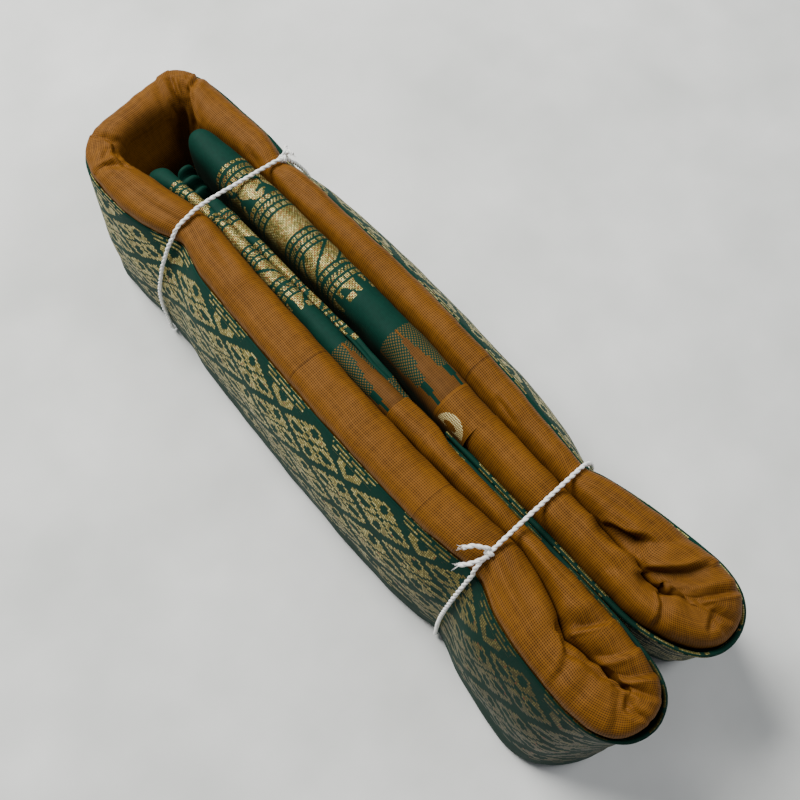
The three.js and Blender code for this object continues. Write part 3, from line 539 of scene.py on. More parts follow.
def stack_rings(r, overhang=0.0, folded=False, bumpy=0.0):
    away = away_from_inside(r)
    shown = r["shown"][:, None]
    squat = np.minimum(1, (r["outer_shoulder"] - WALL_BELOW_SHOULDER) / WALL_FULL)
    wall_z = WALL_LEVELS[None, :] * squat[:, None]
    stand = swell(r["bulge"][:, None], wall_z) - shown * smoothstep(KEPT_BACK_FROM, KEPT_BACK_FULL, wall_z)
    wall_xy = pushed(r["out"][:, None, :], away, stand)
    turn = math.pi * np.arange(DOME_STEPS + 1) / DOME_STEPS
    over = (1 - signed_power(np.cos(turn), 2 / DOME_ROUNDNESS)) / 2
    up = np.sin(turn) ** (2 / DOME_ROUNDNESS)
    edge = r["out"] - away * shown
    dome_xy = edge[:, None, :] * (1 - over)[None, :, None] + r["inner"][:, None, :] * over[None, :, None]
    shoulder = r["outer_shoulder"][:, None] * (1 - over) + r["inner_shoulder"][:, None] * over
    sunk = pressed(dome_xy[..., 0], dome_xy[..., 1])
    dome_z = shoulder + (r["top"][:, None] - sunk - shoulder) * up
    over_edge = np.sin(np.minimum(OVERHANG_TURN * turn, math.pi))[None, :]
    dome_xy = pushed(dome_xy, away, overhang * smoothstep(1, 0, shown) * over_edge)
    fall = 1 - np.linspace(0, 1, INNER_LEVELS + 1)[1:]
    inner_z = r["inner_shoulder"][:, None] * fall[None, :]
    slid = r["slope"][:, None] * smoothstep(0.0, SLOPE_OVER, 1 - fall)[None, :]
    inner_xy = pushed(r["inner"][:, None, :], away, -slid)
    xy = np.concatenate([wall_xy, dome_xy, inner_xy], axis=1)
    z = np.concatenate([wall_z, dome_z, inner_z], axis=1)
    rings = leaning(np.concatenate([xy, z[..., None]], axis=2), r)
    high = smoothstep(CREASE_FLOOR, CREASE_FULL, rings[..., 2])
    move = -creased(rings) if folded else 0.0
    move = move + bumpy * high * uneven(lengths_along(r["out"])[:, None], lengths_across(rings))
    return rings + normals_of(rings) * move[..., None]


# %% [markdown]
# ## The border's wall
#
# The border is the outermost layer, one thin wall with its top edge turned in as a hem. Where the edge
# shows beyond the mustard, on the back and between the inner stretches, it is drawn a little wider and
# higher, because there the real border's folds stand proud. Its own levels keep the edge round.

# %% Rings of the border
OUTER_LEVELS = 38
EDGE_STEPS = 7
HEM_LEVELS = 5
HEM_DEEP = 13.0
EDGE_ROLL = 0.45
EDGE_DRAWN_BELOW = 2
BORDER_FOOT = 0.4
WAVES_BELOW = 55
WAVES_STRETCH = 0.6


def border_rings(r):
    away = away_from_inside(r)
    round_edge = BORDER_WALL / 2
    straight_top = BORDER_HEIGHT - round_edge
    turn = math.pi * np.arange(1, EDGE_STEPS) / EDGE_STEPS
    shown = r["shown"][:, None]
    level = np.concatenate([
        np.linspace(BORDER_FOOT, straight_top, OUTER_LEVELS),
        np.full(EDGE_STEPS - 1, straight_top),
        np.linspace(straight_top, BORDER_HEIGHT - HEM_DEEP, HEM_LEVELS),
    ])[None, :]
    over = np.concatenate([np.zeros(OUTER_LEVELS), (1 - np.cos(turn)) / 2, np.ones(HEM_LEVELS)])[None, :]
    up = np.concatenate([np.zeros(OUTER_LEVELS), np.sin(turn), np.zeros(HEM_LEVELS)])[None, :]
    z = level + (round_edge + EDGE_ROLL * shown) * up
    drawn = shown * smoothstep(BORDER_HEIGHT - HEM_DEEP, BORDER_HEIGHT - EDGE_DRAWN_BELOW, level)
    thick = BORDER_WALL - (BORDER_WALL + drawn) * over
    along = lengths_along(r["out"])[:, None]
    stand = swell(r["bulge"][:, None], z) + SEAM + r["loose"][:, None] + thick
    waves = uneven(along * WAVES_STRETCH, level * WAVES_STRETCH)
    stand = stand + BORDER_UNEVEN * smoothstep(BORDER_HEIGHT, WAVES_BELOW, level) * waves
    xy = pushed(r["out"][:, None, :], away, stand)
    return leaning(np.concatenate([xy, z[..., None]], axis=2), r)


# %% Lengths and directions on a shell
def lengths_along(points):
    steps = np.linalg.norm(np.diff(points, axis=0), axis=1)
    return np.concatenate([[0], np.cumsum(steps)])


def lengths_across(rings):
    steps = np.linalg.norm(np.diff(rings, axis=1), axis=2)
    return np.concatenate([np.zeros((len(rings), 1)), np.cumsum(steps, axis=1)], axis=1)


def normals_of(rings):
    along = np.gradient(rings, axis=0)
    across = np.gradient(rings, axis=1)
    normal = np.cross(across, along)
    return outward(rings) * normal / np.maximum(np.linalg.norm(normal, axis=2), 1e-9)[..., None]


def outward(rings):
    highest = int(np.argmax(rings[:, :, 2].mean(axis=0)))
    ahead = rings[1:, highest] - rings[:-1, highest]
    over = rings[:-1, min(highest + 1, rings.shape[1] - 1)] - rings[:-1, highest - 1]
    return 1 if np.cross(over, ahead)[:, 2].mean() > 0 else -1


# %% [markdown]
# ## A mesh from a grid of points
#
# The rings of a shell all have the same number of points, so they make a grid of quads. The two cloth
# coordinates go into a UV map in metres. A third value, hollow, goes with each point: 0 in the
# open and 1 deep between the stretches: painted shade, where real folds let no light in.


# %% Grid mesh
def smooth_piece(name, points, quads):
    mesh = bpy.data.meshes.new(name)
    mesh.from_pydata(((points - (*BOX_MIDDLE, 0.0)) * MM).tolist(), [], quads.tolist())
    mesh.polygons.foreach_set("use_smooth", np.ones(len(quads), bool))
    piece = bpy.data.objects.new(name, mesh)
    bpy.context.scene.collection.objects.link(piece)
    return piece


def grid_mesh(name, rings, along, across, hollow):
    rows, columns = rings.shape[:2]
    index = np.arange(rows * columns).reshape(rows, columns)
    quads = np.stack([index[:-1, :-1], index[:-1, 1:], index[1:, 1:], index[1:, :-1]], axis=2).reshape(-1, 4)
    if outward(rings) < 0:
        quads = quads[:, ::-1]
    piece = smooth_piece(name, rings.reshape(-1, 3), quads)
    cloth = piece.data.uv_layers.new(name="cloth")
    places = np.stack([np.broadcast_to(along, (rows, columns)), across], axis=2).reshape(-1, 2) * MM
    cloth.data.foreach_set("uv", places[quads.reshape(-1)].astype(np.float32).reshape(-1))
    depth = piece.data.attributes.new("hollow", "FLOAT", "POINT")
    depth.data.foreach_set("value", np.clip(hollow, 0, 1).astype(np.float32).reshape(-1))
    return piece


# %% [markdown]
# ## The runs of the strip
#
# The strip starts on the front's inner stretch, turns back at the front lobe, runs along the front,
# bends round the head, comes back along the back, turns at the back lobe and ends on the back's inner
# stretch. One run from end to end keeps the cloth whole at each bend, where separate shells would
# show a seam that the real cloth doesn't have.

# %% Runs
STEP = 1.5
HEAD_STEPS = 150
LOBE_STEPS = 150
FRONT_PALLU_END = 27.0
BACK_PALLU_END = 56.0
INNER_BORDER_START = 47.0


def marks(start, end, step=STEP):
    return np.linspace(start, end, int(abs(end - start) / step) + 2)


def trimmed(r):
    return {key: values[1:-1] for key, values in r.items()}


def strip(front_start, back_end):
    joint = np.array([LOBE_JOINT])
    head_joint = np.array([HEAD_JOINT])
    front_lobe = bend(straight("front_outer", joint), FRONT_LOBE, straight("front_inner", joint), LOBE_STEPS,
                      LOBE_FALL)
    head = bend(straight("front_outer", head_joint), HEAD, straight("back_outer", head_joint), HEAD_STEPS,
                HEAD_FALL, HEAD_SLOPE)
    back_lobe = bend(straight("back_outer", joint), BACK_LOBE, straight("back_inner", joint), LOBE_STEPS,
                     LOBE_FALL)
    return joined(
        straight("front_inner", marks(front_start, LOBE_JOINT)),
        trimmed(reversed_run(front_lobe)),
        straight("front_outer", marks(LOBE_JOINT, HEAD_JOINT)),
        trimmed(head),
        straight("back_outer", marks(HEAD_JOINT, LOBE_JOINT)),
        trimmed(back_lobe),
        straight("back_inner", marks(LOBE_JOINT, back_end)),
    )


body_run = strip(FRONT_PALLU_END, BACK_PALLU_END)
body_along = lengths_along(body_run["out"])
print("mustard strip:", round(body_along[-1]), "mm along,", len(body_along), "sections")

# %% Mustard cloth
DEEP_SHADE = 0.7
DEEP_FROM = 76.0
DEEP_FULL = 62.0
HEAD_ENDS = (-132.0, -120.0)
HEAD_OPENS = (-158.0, -151.0)
HEAD_CLOSES = (-122.0, -132.0)
OPEN_FROM = 84.0
body_rings = stack_rings(body_run, overhang=OVERHANG, folded=True, bumpy=BODY_UNEVEN)
body_across = lengths_across(body_rings)
body_x = body_rings[..., 0]
body_z = body_rings[..., 2]
beyond_head = smoothstep(*HEAD_ENDS, body_x)
open_head = smoothstep(*HEAD_OPENS, body_x) * smoothstep(*HEAD_CLOSES, body_x)
# painted shade: the mustard is painted darker deep between the stretches beyond the head and in the creases,
# and less so inside the open head, where light comes in
body_painted_shade = DEEP_SHADE * beyond_head * smoothstep(DEEP_FROM, DEEP_FULL, body_z)
body_painted_shade = body_painted_shade + CREASE_SHADE * np.maximum(0, creased(body_rings))
body_painted_shade = body_painted_shade - open_head * smoothstep(OPEN_FROM, DEEP_FROM, body_z)
body = grid_mesh("body_cloth", body_rings, body_along[:, None], body_across, body_painted_shade)
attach(body, "root")
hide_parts("body_front_outer", "body_back_outer", "body_head_bend", "body_front_lobe",
            "body_back_lobe", "body_front_inner", "body_back_inner")
print("mustard shell across:", round(float(body_across[:, -1].mean()), 1), "mm")

# %% Border
LATTICE_AT = 12.0
BORDER_SHADE = 0.3
LOBE_SIDE = (40.0, 135.0)
LOW_SIDE = (45.0, 5.0)
border_run = strip(INNER_BORDER_START, INNER_BORDER_START)
border_along = lengths_along(border_run["out"])
on_front = (border_run["out"][:, 1] < -25) & (np.abs(border_run["out"][:, 0] - LATTICE_AT) < 20)
LATTICE_START = np.interp(-LATTICE_AT, -border_run["out"][on_front, 0], border_along[on_front])
outer_face = border_rings(border_run)
border_across = lengths_across(outer_face)
border_down = border_across[:, OUTER_LEVELS + EDGE_STEPS // 2][:, None] - border_across
# painted shade: the border is painted darker on the front towards the lobes and low down near the floor
lobe_side = smoothstep(*LOBE_SIDE, outer_face[..., 0]) * (outer_face[..., 1] < 15)
low_side = smoothstep(*LOW_SIDE, outer_face[..., 2]) * (1 - lobe_side)
border_painted_shade = BORDER_SHADE * lobe_side + BORDER_SHADE * low_side
border = grid_mesh("border_cloth", outer_face, border_along[:, None] - LATTICE_START, border_down,
                   border_painted_shade)
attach(border, "root")
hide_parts("border_front", "border_back", "border_head", "border_front_lobe",
            "border_back_lobe", "border_front_inner", "border_back_inner")
print("border:", round(border_along[-1]), "mm along")

# %% [markdown]
# ## The end piece
#
# The two inner stretches are green between their rounded ends near the head and the mustard. Their
# ends draw in over the last few millimetres as a folded edge does.

# %% Closed ends
NOSE = 7.0
NOSE_DROP = 7.0
FRONT_NOSE = -132.5
BACK_NOSE = -131.5
MIDDLE_NOSE = -104.0
MIDDLE_TAIL = 46.0
MIDDLE_NOSE_DROP = 5.0
MIDDLE_TAIL_DROP = 3.0
THINNEST = 0.12
NOSE_FINE = NOSE * (1 - np.cos(np.linspace(0, math.pi / 2, 12)))


def drawn_in(r, away, radius, drop):
    t = np.clip(away / radius, 0, 1)
    full = np.maximum(THINNEST, np.sqrt(1 - (1 - t) ** 2))
    centre = (r["out"] + r["inner"]) / 2
    return run(centre + (r["out"] - centre) * full[:, None], centre + (r["inner"] - centre) * full[:, None],
               r["top"] - drop * (1 - full), r["bulge"])


def nose_marks(nose, end):
    return np.concatenate([nose + NOSE_FINE[:-1], marks(nose + NOSE, end)])


def inner_piece(stretch, nose, end):
    x = nose_marks(nose, end)
    return x, drawn_in(straight(stretch, x), x - nose, NOSE, NOSE_DROP)


RIDGE_APART = 3.3
RIDGE_HIGH = 0.55
RIDGES_START = -50.0
RIDGES_FULL = -10.0
RIDGE_WANDER = 0.9
RIDGE_WANDER_OVER = 13.0
PALLU_SHADE = 0.9


def pallu_piece(name, x, r, node, place_along, place_across, ridged=False):
    rings = stack_rings(r, bumpy=BODY_UNEVEN)
    if ridged:
        across = lengths_across(rings)
        wander = RIDGE_WANDER * np.sin(x[:, None] / RIDGE_WANDER_OVER)
        ridge = np.sin(2 * math.pi * across / RIDGE_APART + wander)
        fades = smoothstep(RIDGES_START, RIDGES_FULL, x)[:, None] * smoothstep(50, 66, rings[..., 2])
        rings = rings + normals_of(rings) * (RIDGE_HIGH * fades * ridge)[..., None]
    # painted shade: the end piece is painted darker down the sides of its rolls, below their tops
    hollow = PALLU_SHADE * smoothstep(r["top"][:, None] - 1.5, r["top"][:, None] - 13.0, rings[..., 2])
    piece = grid_mesh(name, rings, x[:, None] + place_along, lengths_across(rings) + place_across, hollow)
    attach(piece, "root")
    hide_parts(node)
    return piece


# %% End piece on the two inner stretches
front_x, front_pallu_run = inner_piece("front_inner", FRONT_NOSE, FRONT_PALLU_END)
pallu_front = pallu_piece("end_piece_front", front_x, front_pallu_run, "pallu_front", 11.0, 6.5)
back_x, back_pallu_run = inner_piece("back_inner", BACK_NOSE, BACK_PALLU_END)
pallu_back = pallu_piece("end_piece_back", back_x, back_pallu_run, "pallu_back", 0.0, 0.0)

# %% First folds in the middle
middle_tail = MIDDLE_TAIL - NOSE_FINE[::-1][1:]
middle_x = np.concatenate([nose_marks(MIDDLE_NOSE, MIDDLE_TAIL - NOSE), middle_tail])
middle_sections = drawn_in(straight("middle", middle_x), middle_x - MIDDLE_NOSE, NOSE, MIDDLE_NOSE_DROP)
middle_sections = drawn_in(middle_sections, MIDDLE_TAIL - middle_x, NOSE, MIDDLE_TAIL_DROP)
pallu_middle = pallu_piece("end_piece_middle", middle_x, middle_sections, "pallu_middle", -11.0, 6.5, True)

# %% The crumpled corner
TUCK_FROM = -127.5
TUCK_TO = -105.0
TUCK_TOP = 67.0
TUCK_END = 4.5
TUCK_ROOM = 0.9
TUCK_SWING = 0.7
TUCK_SWING_TURN = 0.62
TUCK_RISE = 2.2
TUCK_RISE_TURN = 0.85


def tuck_sections(x):
    row = at_stations(x)
    swing = TUCK_SWING * np.sin((x - TUCK_FROM) * TUCK_SWING_TURN)
    out = plan(x, row["mid_front"] + SEAM + TUCK_ROOM + swing)
    inner = plan(x, row["mid_back"] - SEAM - TUCK_ROOM + swing)
    top = TUCK_TOP + TUCK_RISE * np.sin((x - TUCK_FROM) * TUCK_RISE_TURN)
    r = run(out, inner, top, 0)
    return drawn_in(r, np.minimum(x - TUCK_FROM, TUCK_TO - x), TUCK_END, TUCK_END)


tuck_x = marks(TUCK_FROM, TUCK_TO, 0.5)
pallu_tuck = pallu_piece("end_piece_corner", tuck_x, tuck_sections(tuck_x), "pallu_tuck", 0.0, 0.0)

# %% [markdown]
# ## The strings
#
# A string is pulled straight from fold to fold, so its way round the bundle is the hull of the folds
# near it, one half thickness away. Below, it lies in its channel under the folds.

# %% A string's way round
STRING = 2.0
STRING_CLEAR = 0.2
GROOVE_HEIGHT = 3.15
FEET = 43.0
TOP_STARTS = 76.0
NEARBY = 2.6
DIRECTIONS = 360
HEAD_TIE = {
    "front": [(0, -98.8), (30, -99.2), (56, -95.8), (76, -93.6)],
    "top": HEAD_TIE_TOP,
    "back": [(0, -95.0), (40, -94.6), (70, -93.0), (76, -92.0)],
    "knot_y": 28.5,
    "ends": ([(-92.0, 31.6, 84.9), (-89.6, 32.0, 84.4)], [(-93.6, 31.2, 84.6), (-95.2, 32.6, 83.6)]),
}
LOBE_TIE = {
    "front": [(0, 95.0), (35, 95.6), (60, 96.2), (76, 96.6)],
    "top": LOBE_TIE_TOP,
    "back": [(0, 93.0), (40, 93.0), (76, 93.4)],
    "knot_y": -23.0,
    "ends": ([(93.0, -24.4, 85.6), (90.4, -26.6, 86.4), (88.2, -29.8, 85.0)],
             [(95.6, -28.4, 85.0), (94.0, -32.2, 84.2), (91.6, -34.8, 82.6)]),
}


def string_x(tie, y, z):
    front = np.array(tie["front"], float)
    back = np.array(tie["back"], float)
    under = front[0, 1] + (y + FEET) / (2 * FEET) * (back[0, 1] - front[0, 1])
    beside = np.where(y < 0, smooth(front[:, 0], front[:, 1], z), smooth(back[:, 0], back[:, 1], z))
    return np.where(z < GROOVE_HEIGHT, under, np.where(z < TOP_STARTS, beside, top_line(tie["top"], y)))


def way_round(tie):
    xs = [row[1] for row in tie["front"] + tie["top"] + tie["back"]]
    x = np.arange(min(xs) - NEARBY, max(xs) + NEARBY, NEARBY / 2)
    folds = []
    for stretch in ("front_outer", "front_inner", "middle", "back_inner", "back_outer"):
        folds.append(stack_rings(straight(stretch, x)).reshape(-1, 3))
    for stretch in ("front_outer", "back_outer"):
        folds.append(border_rings(straight(stretch, x)).reshape(-1, 3))
    folds = np.concatenate(folds)
    near = folds[np.abs(folds[:, 0] - string_x(tie, folds[:, 1], folds[:, 2])) < NEARBY]
    feet = near[near[:, 2] <= FOOT_HEIGHT, 1]
    held = near[near[:, 2] >= GROOVE_HEIGHT][:, 1:]
    held = np.concatenate([held, [(feet.min(), GROOVE_HEIGHT), (feet.max(), GROOVE_HEIGHT)]])
    turn = 2 * math.pi * np.arange(DIRECTIONS) / DIRECTIONS
    out = np.stack([np.cos(turn), np.sin(turn)], axis=1)
    far = held[np.argmax(held @ out.T, axis=0)]
    corners = far + (STRING / 2 + STRING_CLEAR) * out
    places = []
    outs = []
    for i in range(DIRECTIONS):
        k = (i + 1) % DIRECTIONS
        pieces = max(1, round(float(np.linalg.norm(corners[k] - corners[i]))))
        for t in np.arange(pieces) / pieces:
            places.append(corners[i] * (1 - t) + corners[k] * t)
            outs.append(out[i] * (1 - t) + out[k] * t)
    places = np.array(places)
    outs = np.array(outs)
    x_line = string_x(tie, places[:, 0], places[:, 1])
    return np.column_stack([x_line, places]), np.column_stack([np.zeros(len(outs)), outs])


# %% [markdown]
# ## Twisted cotton
#
# The string is two plies twisted round each other. Each ply is a thin tube that circles the string's own
# line, with a whole number of turns so that it meets itself again. The knot is one more length of string:
# it starts at one free end, turns round the string and leaves as the other free end. Its tips are frayed.

# %% Tubes along a line
PLY = 0.6
PLY_ORBIT = 0.36
TWIST = 5.6
PLY_SIDES = 8
STRING_STEP = 0.45
KNOT_TURN = 1.35
KNOT_LONG = 2.3
KNOT_TURNS = 1.5
KNOT_STARTS = 0.6
FIBRES = 9
FIBRE = 0.11
FIBRE_LONG = 2.6
FIBRE_SPREAD = 0.35
FIBRE_SWAY = 0.3


def evenly(path):
    path = np.asarray(path, float)
    reach = lengths_along(path)
    at = np.linspace(0, reach[-1], max(4, int(reach[-1] / STRING_STEP)))
    return np.column_stack([np.interp(at, reach, path[:, k]) for k in range(3)])


def softened(path, times=3):
    path = path.copy()
    for _ in range(times):
        path[1:-1] = (path[:-2] + 2 * path[1:-1] + path[2:]) / 4
    return path


def frames_along(path):
    ahead = np.gradient(path, axis=0)
    ahead /= np.linalg.norm(ahead, axis=1)[:, None]
    side = np.cross(ahead[0], (0.0, 0.0, 1.0))
    if np.linalg.norm(side) < 0.1:
        side = np.cross(ahead[0], (0.0, 1.0, 0.0))
    sides = []
    for direction in ahead:
        side = side - direction * np.dot(side, direction)
        side = side / np.linalg.norm(side)
        sides.append(side)
    sides = np.array(sides)
    return sides, np.cross(ahead, sides)


def plies(path):
    side, up = frames_along(path)
    reach = lengths_along(path)
    turns = max(1, round(reach[-1] / TWIST))
    lines = []
    for k in range(2):
        angle = 2 * math.pi * (turns * reach / reach[-1] + k / 2)
        radial = np.cos(angle)[:, None] * side + np.sin(angle)[:, None] * up
        thick = PLY * (1 + 0.05 * np.sin(reach * 1.9 + 2 * k) + 0.04 * np.sin(reach * 0.83 + k))
        lines.append((path + PLY_ORBIT * radial, thick))
    return lines


def tubes_mesh(name, lines):
    points = []
    quads = []
    count = 0
    turn = 2 * math.pi * np.arange(PLY_SIDES) / PLY_SIDES
    for path, thick in lines:
        side, up = frames_along(path)
        ring = np.cos(turn)[None, :, None] * side[:, None, :] + np.sin(turn)[None, :, None] * up[:, None, :]
        ring = path[:, None, :] + ring * np.asarray(thick)[:, None, None]
        index = count + np.arange(len(path) * PLY_SIDES).reshape(-1, PLY_SIDES)
        beside = np.roll(index, -1, axis=1)
        quads.append(np.stack([index[:-1], beside[:-1], beside[1:], index[1:]], axis=2).reshape(-1, 4))
        points.append(ring.reshape(-1, 3))
        count += len(path) * PLY_SIDES
    return smooth_piece(name, np.concatenate(points), np.concatenate(quads))


# %% Knots and frayed tips
def knot_line(tie, path, outs):
    on_top = np.where(path[:, 2] > TOP_STARTS, np.abs(path[:, 1] - tie["knot_y"]), 1e9)
    k = int(np.argmin(on_top))
    middle = path[k]
    along = path[k + 3] - path[k - 3]
    along /= np.linalg.norm(along)
    out = outs[k] / np.linalg.norm(outs[k])
    side = np.cross(along, out)
    t = np.linspace(0, 1, 40)[:, None]
    angle = 2 * math.pi * KNOT_TURNS * t + KNOT_STARTS
    wrap = middle + along * KNOT_LONG * (t - 0.5) + KNOT_TURN * (np.cos(angle) * out + np.sin(angle) * side)
    first, second = tie["ends"]
    return np.concatenate([np.array(first[::-1], float), wrap, np.array(second, float)])


def frayed(tip, before, dice):
    lines = []
    ahead = (tip - before) / np.linalg.norm(tip - before)
    for _ in range(FIBRES):
        start = tip - ahead * 0.8 + dice.normal(0, FIBRE_SPREAD, 3)
        sway = ahead + dice.normal(0, FIBRE_SWAY, 3)
        last = sway + dice.normal(0, FIBRE_SPREAD, 3)
        reach = FIBRE_LONG * dice.uniform(0.6, 1.15)
        t = np.linspace(0, 1, 7)[:, None]
        line = start + reach * (t * sway * (1 - t / 2) + t * t * last / 2)
        lines.append((line, FIBRE * (1 - 0.6 * t[:, 0])))
    return lines


# %% The two strings
strings = []
dice = np.random.default_rng(7)
for tie, name, node in ((HEAD_TIE, "string_head", "tie_head"), (LOBE_TIE, "string_lobes", "tie_lobes")):
    path, outs = way_round(tie)
    loop = softened(evenly(np.concatenate([path, path[:1]])))
    knot = softened(evenly(knot_line(tie, path, outs)), 4)
    lines = plies(loop) + plies(knot)
    lines += frayed(knot[0], knot[4], dice) + frayed(knot[-1], knot[-5], dice)
    string = tubes_mesh(name, lines)
    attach(string, "root")
    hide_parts(node)
    strings.append(string)
    print(name, round(lengths_along(loop)[-1]), "mm round the bundle,",
          round(lengths_along(knot)[-1]), "mm in the knot and ends")

# %% [markdown]
# ## Finishes
#
# Woven cloth is drawn here with sums instead of pictures. The class below wraps one socket of a shader
# and lets Python's own operators add the Math nodes, so a pattern reads like the formula that it is.
# Colours go through Mix nodes, and every other node comes from the one method, node.


# %% Sums on sockets
class Wire:
    def __init__(self, tree, socket=None):
        self.tree = tree
        self.socket = socket

    def node(self, kind, settings=None, sockets=None, output=0):
        made = self.tree.nodes.new(kind)
        for name, value in (settings or {}).items():
            setattr(made, name, value)
        for name, value in (sockets or {}).items():
            if isinstance(value, Wire):
                self.tree.links.new(value.socket, made.inputs[name])
            else:
                made.inputs[name].default_value = value
        return Wire(self.tree, made.outputs[output] if made.outputs else None)

    def sibling(self, output):
        return Wire(self.tree, self.socket.node.outputs[output])

    def math(self, operation, *values):
        return self.node("ShaderNodeMath", {"operation": operation}, dict(enumerate(values)))

    def __add__(self, other):
        return self.math("ADD", self, other)

    def __sub__(self, other):
        return self.math("SUBTRACT", self, other)

    def __rsub__(self, other):
        return self.math("SUBTRACT", other, self)

    def __mul__(self, other):
        return self.math("MULTIPLY", self, other)

    def __truediv__(self, other):
        return self.math("DIVIDE", self, other)

    def __mod__(self, other):
        return self.math("FLOORED_MODULO", self, other)

    def __pow__(self, other):
        return self.math("POWER", self, other)

    def __gt__(self, other):
        return self.math("GREATER_THAN", self, other)

    def __lt__(self, other):
        return self.math("LESS_THAN", self, other)

    def __and__(self, other):
        return self.math("MINIMUM", self, other)

    def __or__(self, other):
        return self.math("MAXIMUM", self, other)

    def __abs__(self):
        return self.math("ABSOLUTE", self)

    def __invert__(self):
        return self.math("SUBTRACT", 1, self)

    __radd__ = __add__
    __rmul__ = __mul__

    def floor(self):
        return self.math("FLOOR", self)

    def blend(self, colour_a, colour_b):
        sockets = {0: self, 6: colour_a, 7: colour_b}
        return self.node("ShaderNodeMix", {"data_type": "RGBA"}, sockets, 2)

    def chance(self, seed):
        return self.node("ShaderNodeTexWhiteNoise", {"noise_dimensions": "1D"}, {"W": self + seed})

    def chance_at(self, other):
        place = self.node("ShaderNodeCombineXYZ", {}, {0: self, 1: other})
        return self.node("ShaderNodeTexWhiteNoise", {"noise_dimensions": "2D"}, {"Vector": place})

    def cloud(self, other, size, detail=2.0):
        place = self.node("ShaderNodeCombineXYZ", {}, {0: self / size, 1: other / size})
        return self.node("ShaderNodeTexNoise", {}, {"Vector": place, "Scale": 1.0, "Detail": detail})


# %% Dyes
def linear(value):
    value /= 255
    return value / 12.92 if value <= 0.04045 else ((value + 0.055) / 1.055) ** 2.4


def dye(red, green, blue):
    return (linear(red), linear(green), linear(blue), 1.0)


MUSTARD = dye(99, 62, 13)
MUSTARD_SHADE = dye(42, 21, 2)
MUSTARD_GLINT = dye(128, 82, 22)
MUSTARD_GREY = dye(80, 52, 22)
GREEN = dye(0, 54, 42)
GREEN_SHADE = dye(0, 24, 19)
GOLD = dye(150, 138, 72)
GOLD_SHADE = dye(66, 62, 26)
GOLD_GLINT = dye(222, 212, 152)
RUST = dye(112, 46, 8)
DASH = dye(120, 88, 38)
IN_SHADE = dye(8, 6, 2)
COTTON = dye(252, 252, 248)
MUSTARD_SHEEN = (0.03, dye(200, 140, 60))
GREEN_SHEEN = (0.02, dye(120, 160, 130))
print("mustard in linear light:", [round(c, 3) for c in MUSTARD])

# %% [markdown]
# ## Threads
#
# A plain weave is two sets of threads that cross. Seen from near, each thread is light along its middle
# and dark beside it, and the dark spots where four threads meet make the fine grid of the cloth.

# %% Helpers of the patterns
WEAVE_ALONG = 0.95
WEAVE_ACROSS = 0.82
CLOUD_BIG = 30.0
CLOUD_FINE = 3.2
CROSS_LINE_HALF = 0.3


def stepped(value, size):
    return ((value / size).floor() + 0.5) * size


def apart(value, period):
    return abs((value + period / 2) % period - period / 2)


def thread_edge(value):
    return abs(value % 1 - 0.5) * 2


def ramp(value, start, end):
    return ((value - start) / (end - start) & 1) | 0


def between(value, low, high):
    return (value > low) & (value < high)


def within(u, v, middle_u, middle_v, reach_u, reach_v):
    return ((u - middle_u) / reach_u) ** 2 + ((v - middle_v) / reach_v) ** 2 < 1


def mustard_weave(u, v, lines_at=()):
    along = u / WEAVE_ALONG
    across = v / WEAVE_ACROSS
    edge_u = thread_edge(along)
    edge_v = thread_edge(across)
    pits = (edge_u * edge_v) ** 1.5
    lines = edge_u ** 3 * 0.35 + edge_v ** 3 * 0.65
    slubs = across.floor().chance(11.7) * 0.6 + along.floor().chance(3.1) * 0.4
    cloudy = u.cloud(v, CLOUD_BIG)
    fine = u.cloud(v, CLOUD_FINE)
    shade = pits * 0.85 + lines * 0.7 + slubs * 0.26 + cloudy * 0.5 + fine * 0.4 - 0.55
    for place in lines_at:
        shade = shade + (abs(u - place) < CROSS_LINE_HALF) * 0.28
    colour = (shade * 2).blend(MUSTARD_GLINT, MUSTARD)
    colour = (shade * 1.5 - 0.55).blend(colour, MUSTARD_SHADE)
    height = (1 - pits) * 0.07 - lines * 0.03 + fine * 0.05
    return {"colour": colour, "rough": 0.62 + shade * 0.2, "metal": None, "height": height}


# %% [markdown]
# ## The border's lattice
#
# The lattice is a big diamond every 42 mm, cut into four small ones with a green eye each. In the two
# sums p and q, which run along the diamond's sides, a diamond is a square, so its lines are easy to
# state. All places are first stepped to whole stitches, which gives the woven edges their stairs.

# %% Lattice
LATTICE_LENGTH = 42.0
LATTICE_HEIGHT = 24.0
FIRST_CENTRE = 15.0
TOP_BAND = 6.8
PLAIN_FOOT = 62.6
STITCH_ALONG = 0.85
STITCH_ACROSS = 1.15
LINE_SPACING = 2.0
LINE_SHARE = 0.5
DIAMOND_HALF = 0.418
DIAMOND_LONG = 16.8
DIAMOND_TALL = 9.4
CROSS_HALF = 0.024
SIDE_EYE_AT = 9.2
TIP_EYE_AT = 5.9
LINES_START = 0.7
DASH_PERIOD = 9.3
DASH_SHIFT = 3.1
HEART_HALF = 6.9
HEART_TOP = 7.0
HEART_FOOT = 14.4
HEART_EYE_HALF = 2.6
EDGE_TAKEN = 1.5
LOBE_SHADE_FROM = -40.0
LOBE_SHADE_FULL = -130.0
LOBE_SHADE_AMOUNT = 0.5
LOW_FROM = 40.0
LOW_FULL = 80.0
LOW_SHADE_AMOUNT = 0.1
SHEAR_STARTS = -38.0
SHEAR_FULL = -96.0
SHEAR_BELOW = 14.0
SHEAR = 0.55


def sheared(u, v):
    near_lobe = ramp(u, SHEAR_STARTS, SHEAR_FULL)
    return u + ((v - SHEAR_BELOW) | 0) * near_lobe * SHEAR


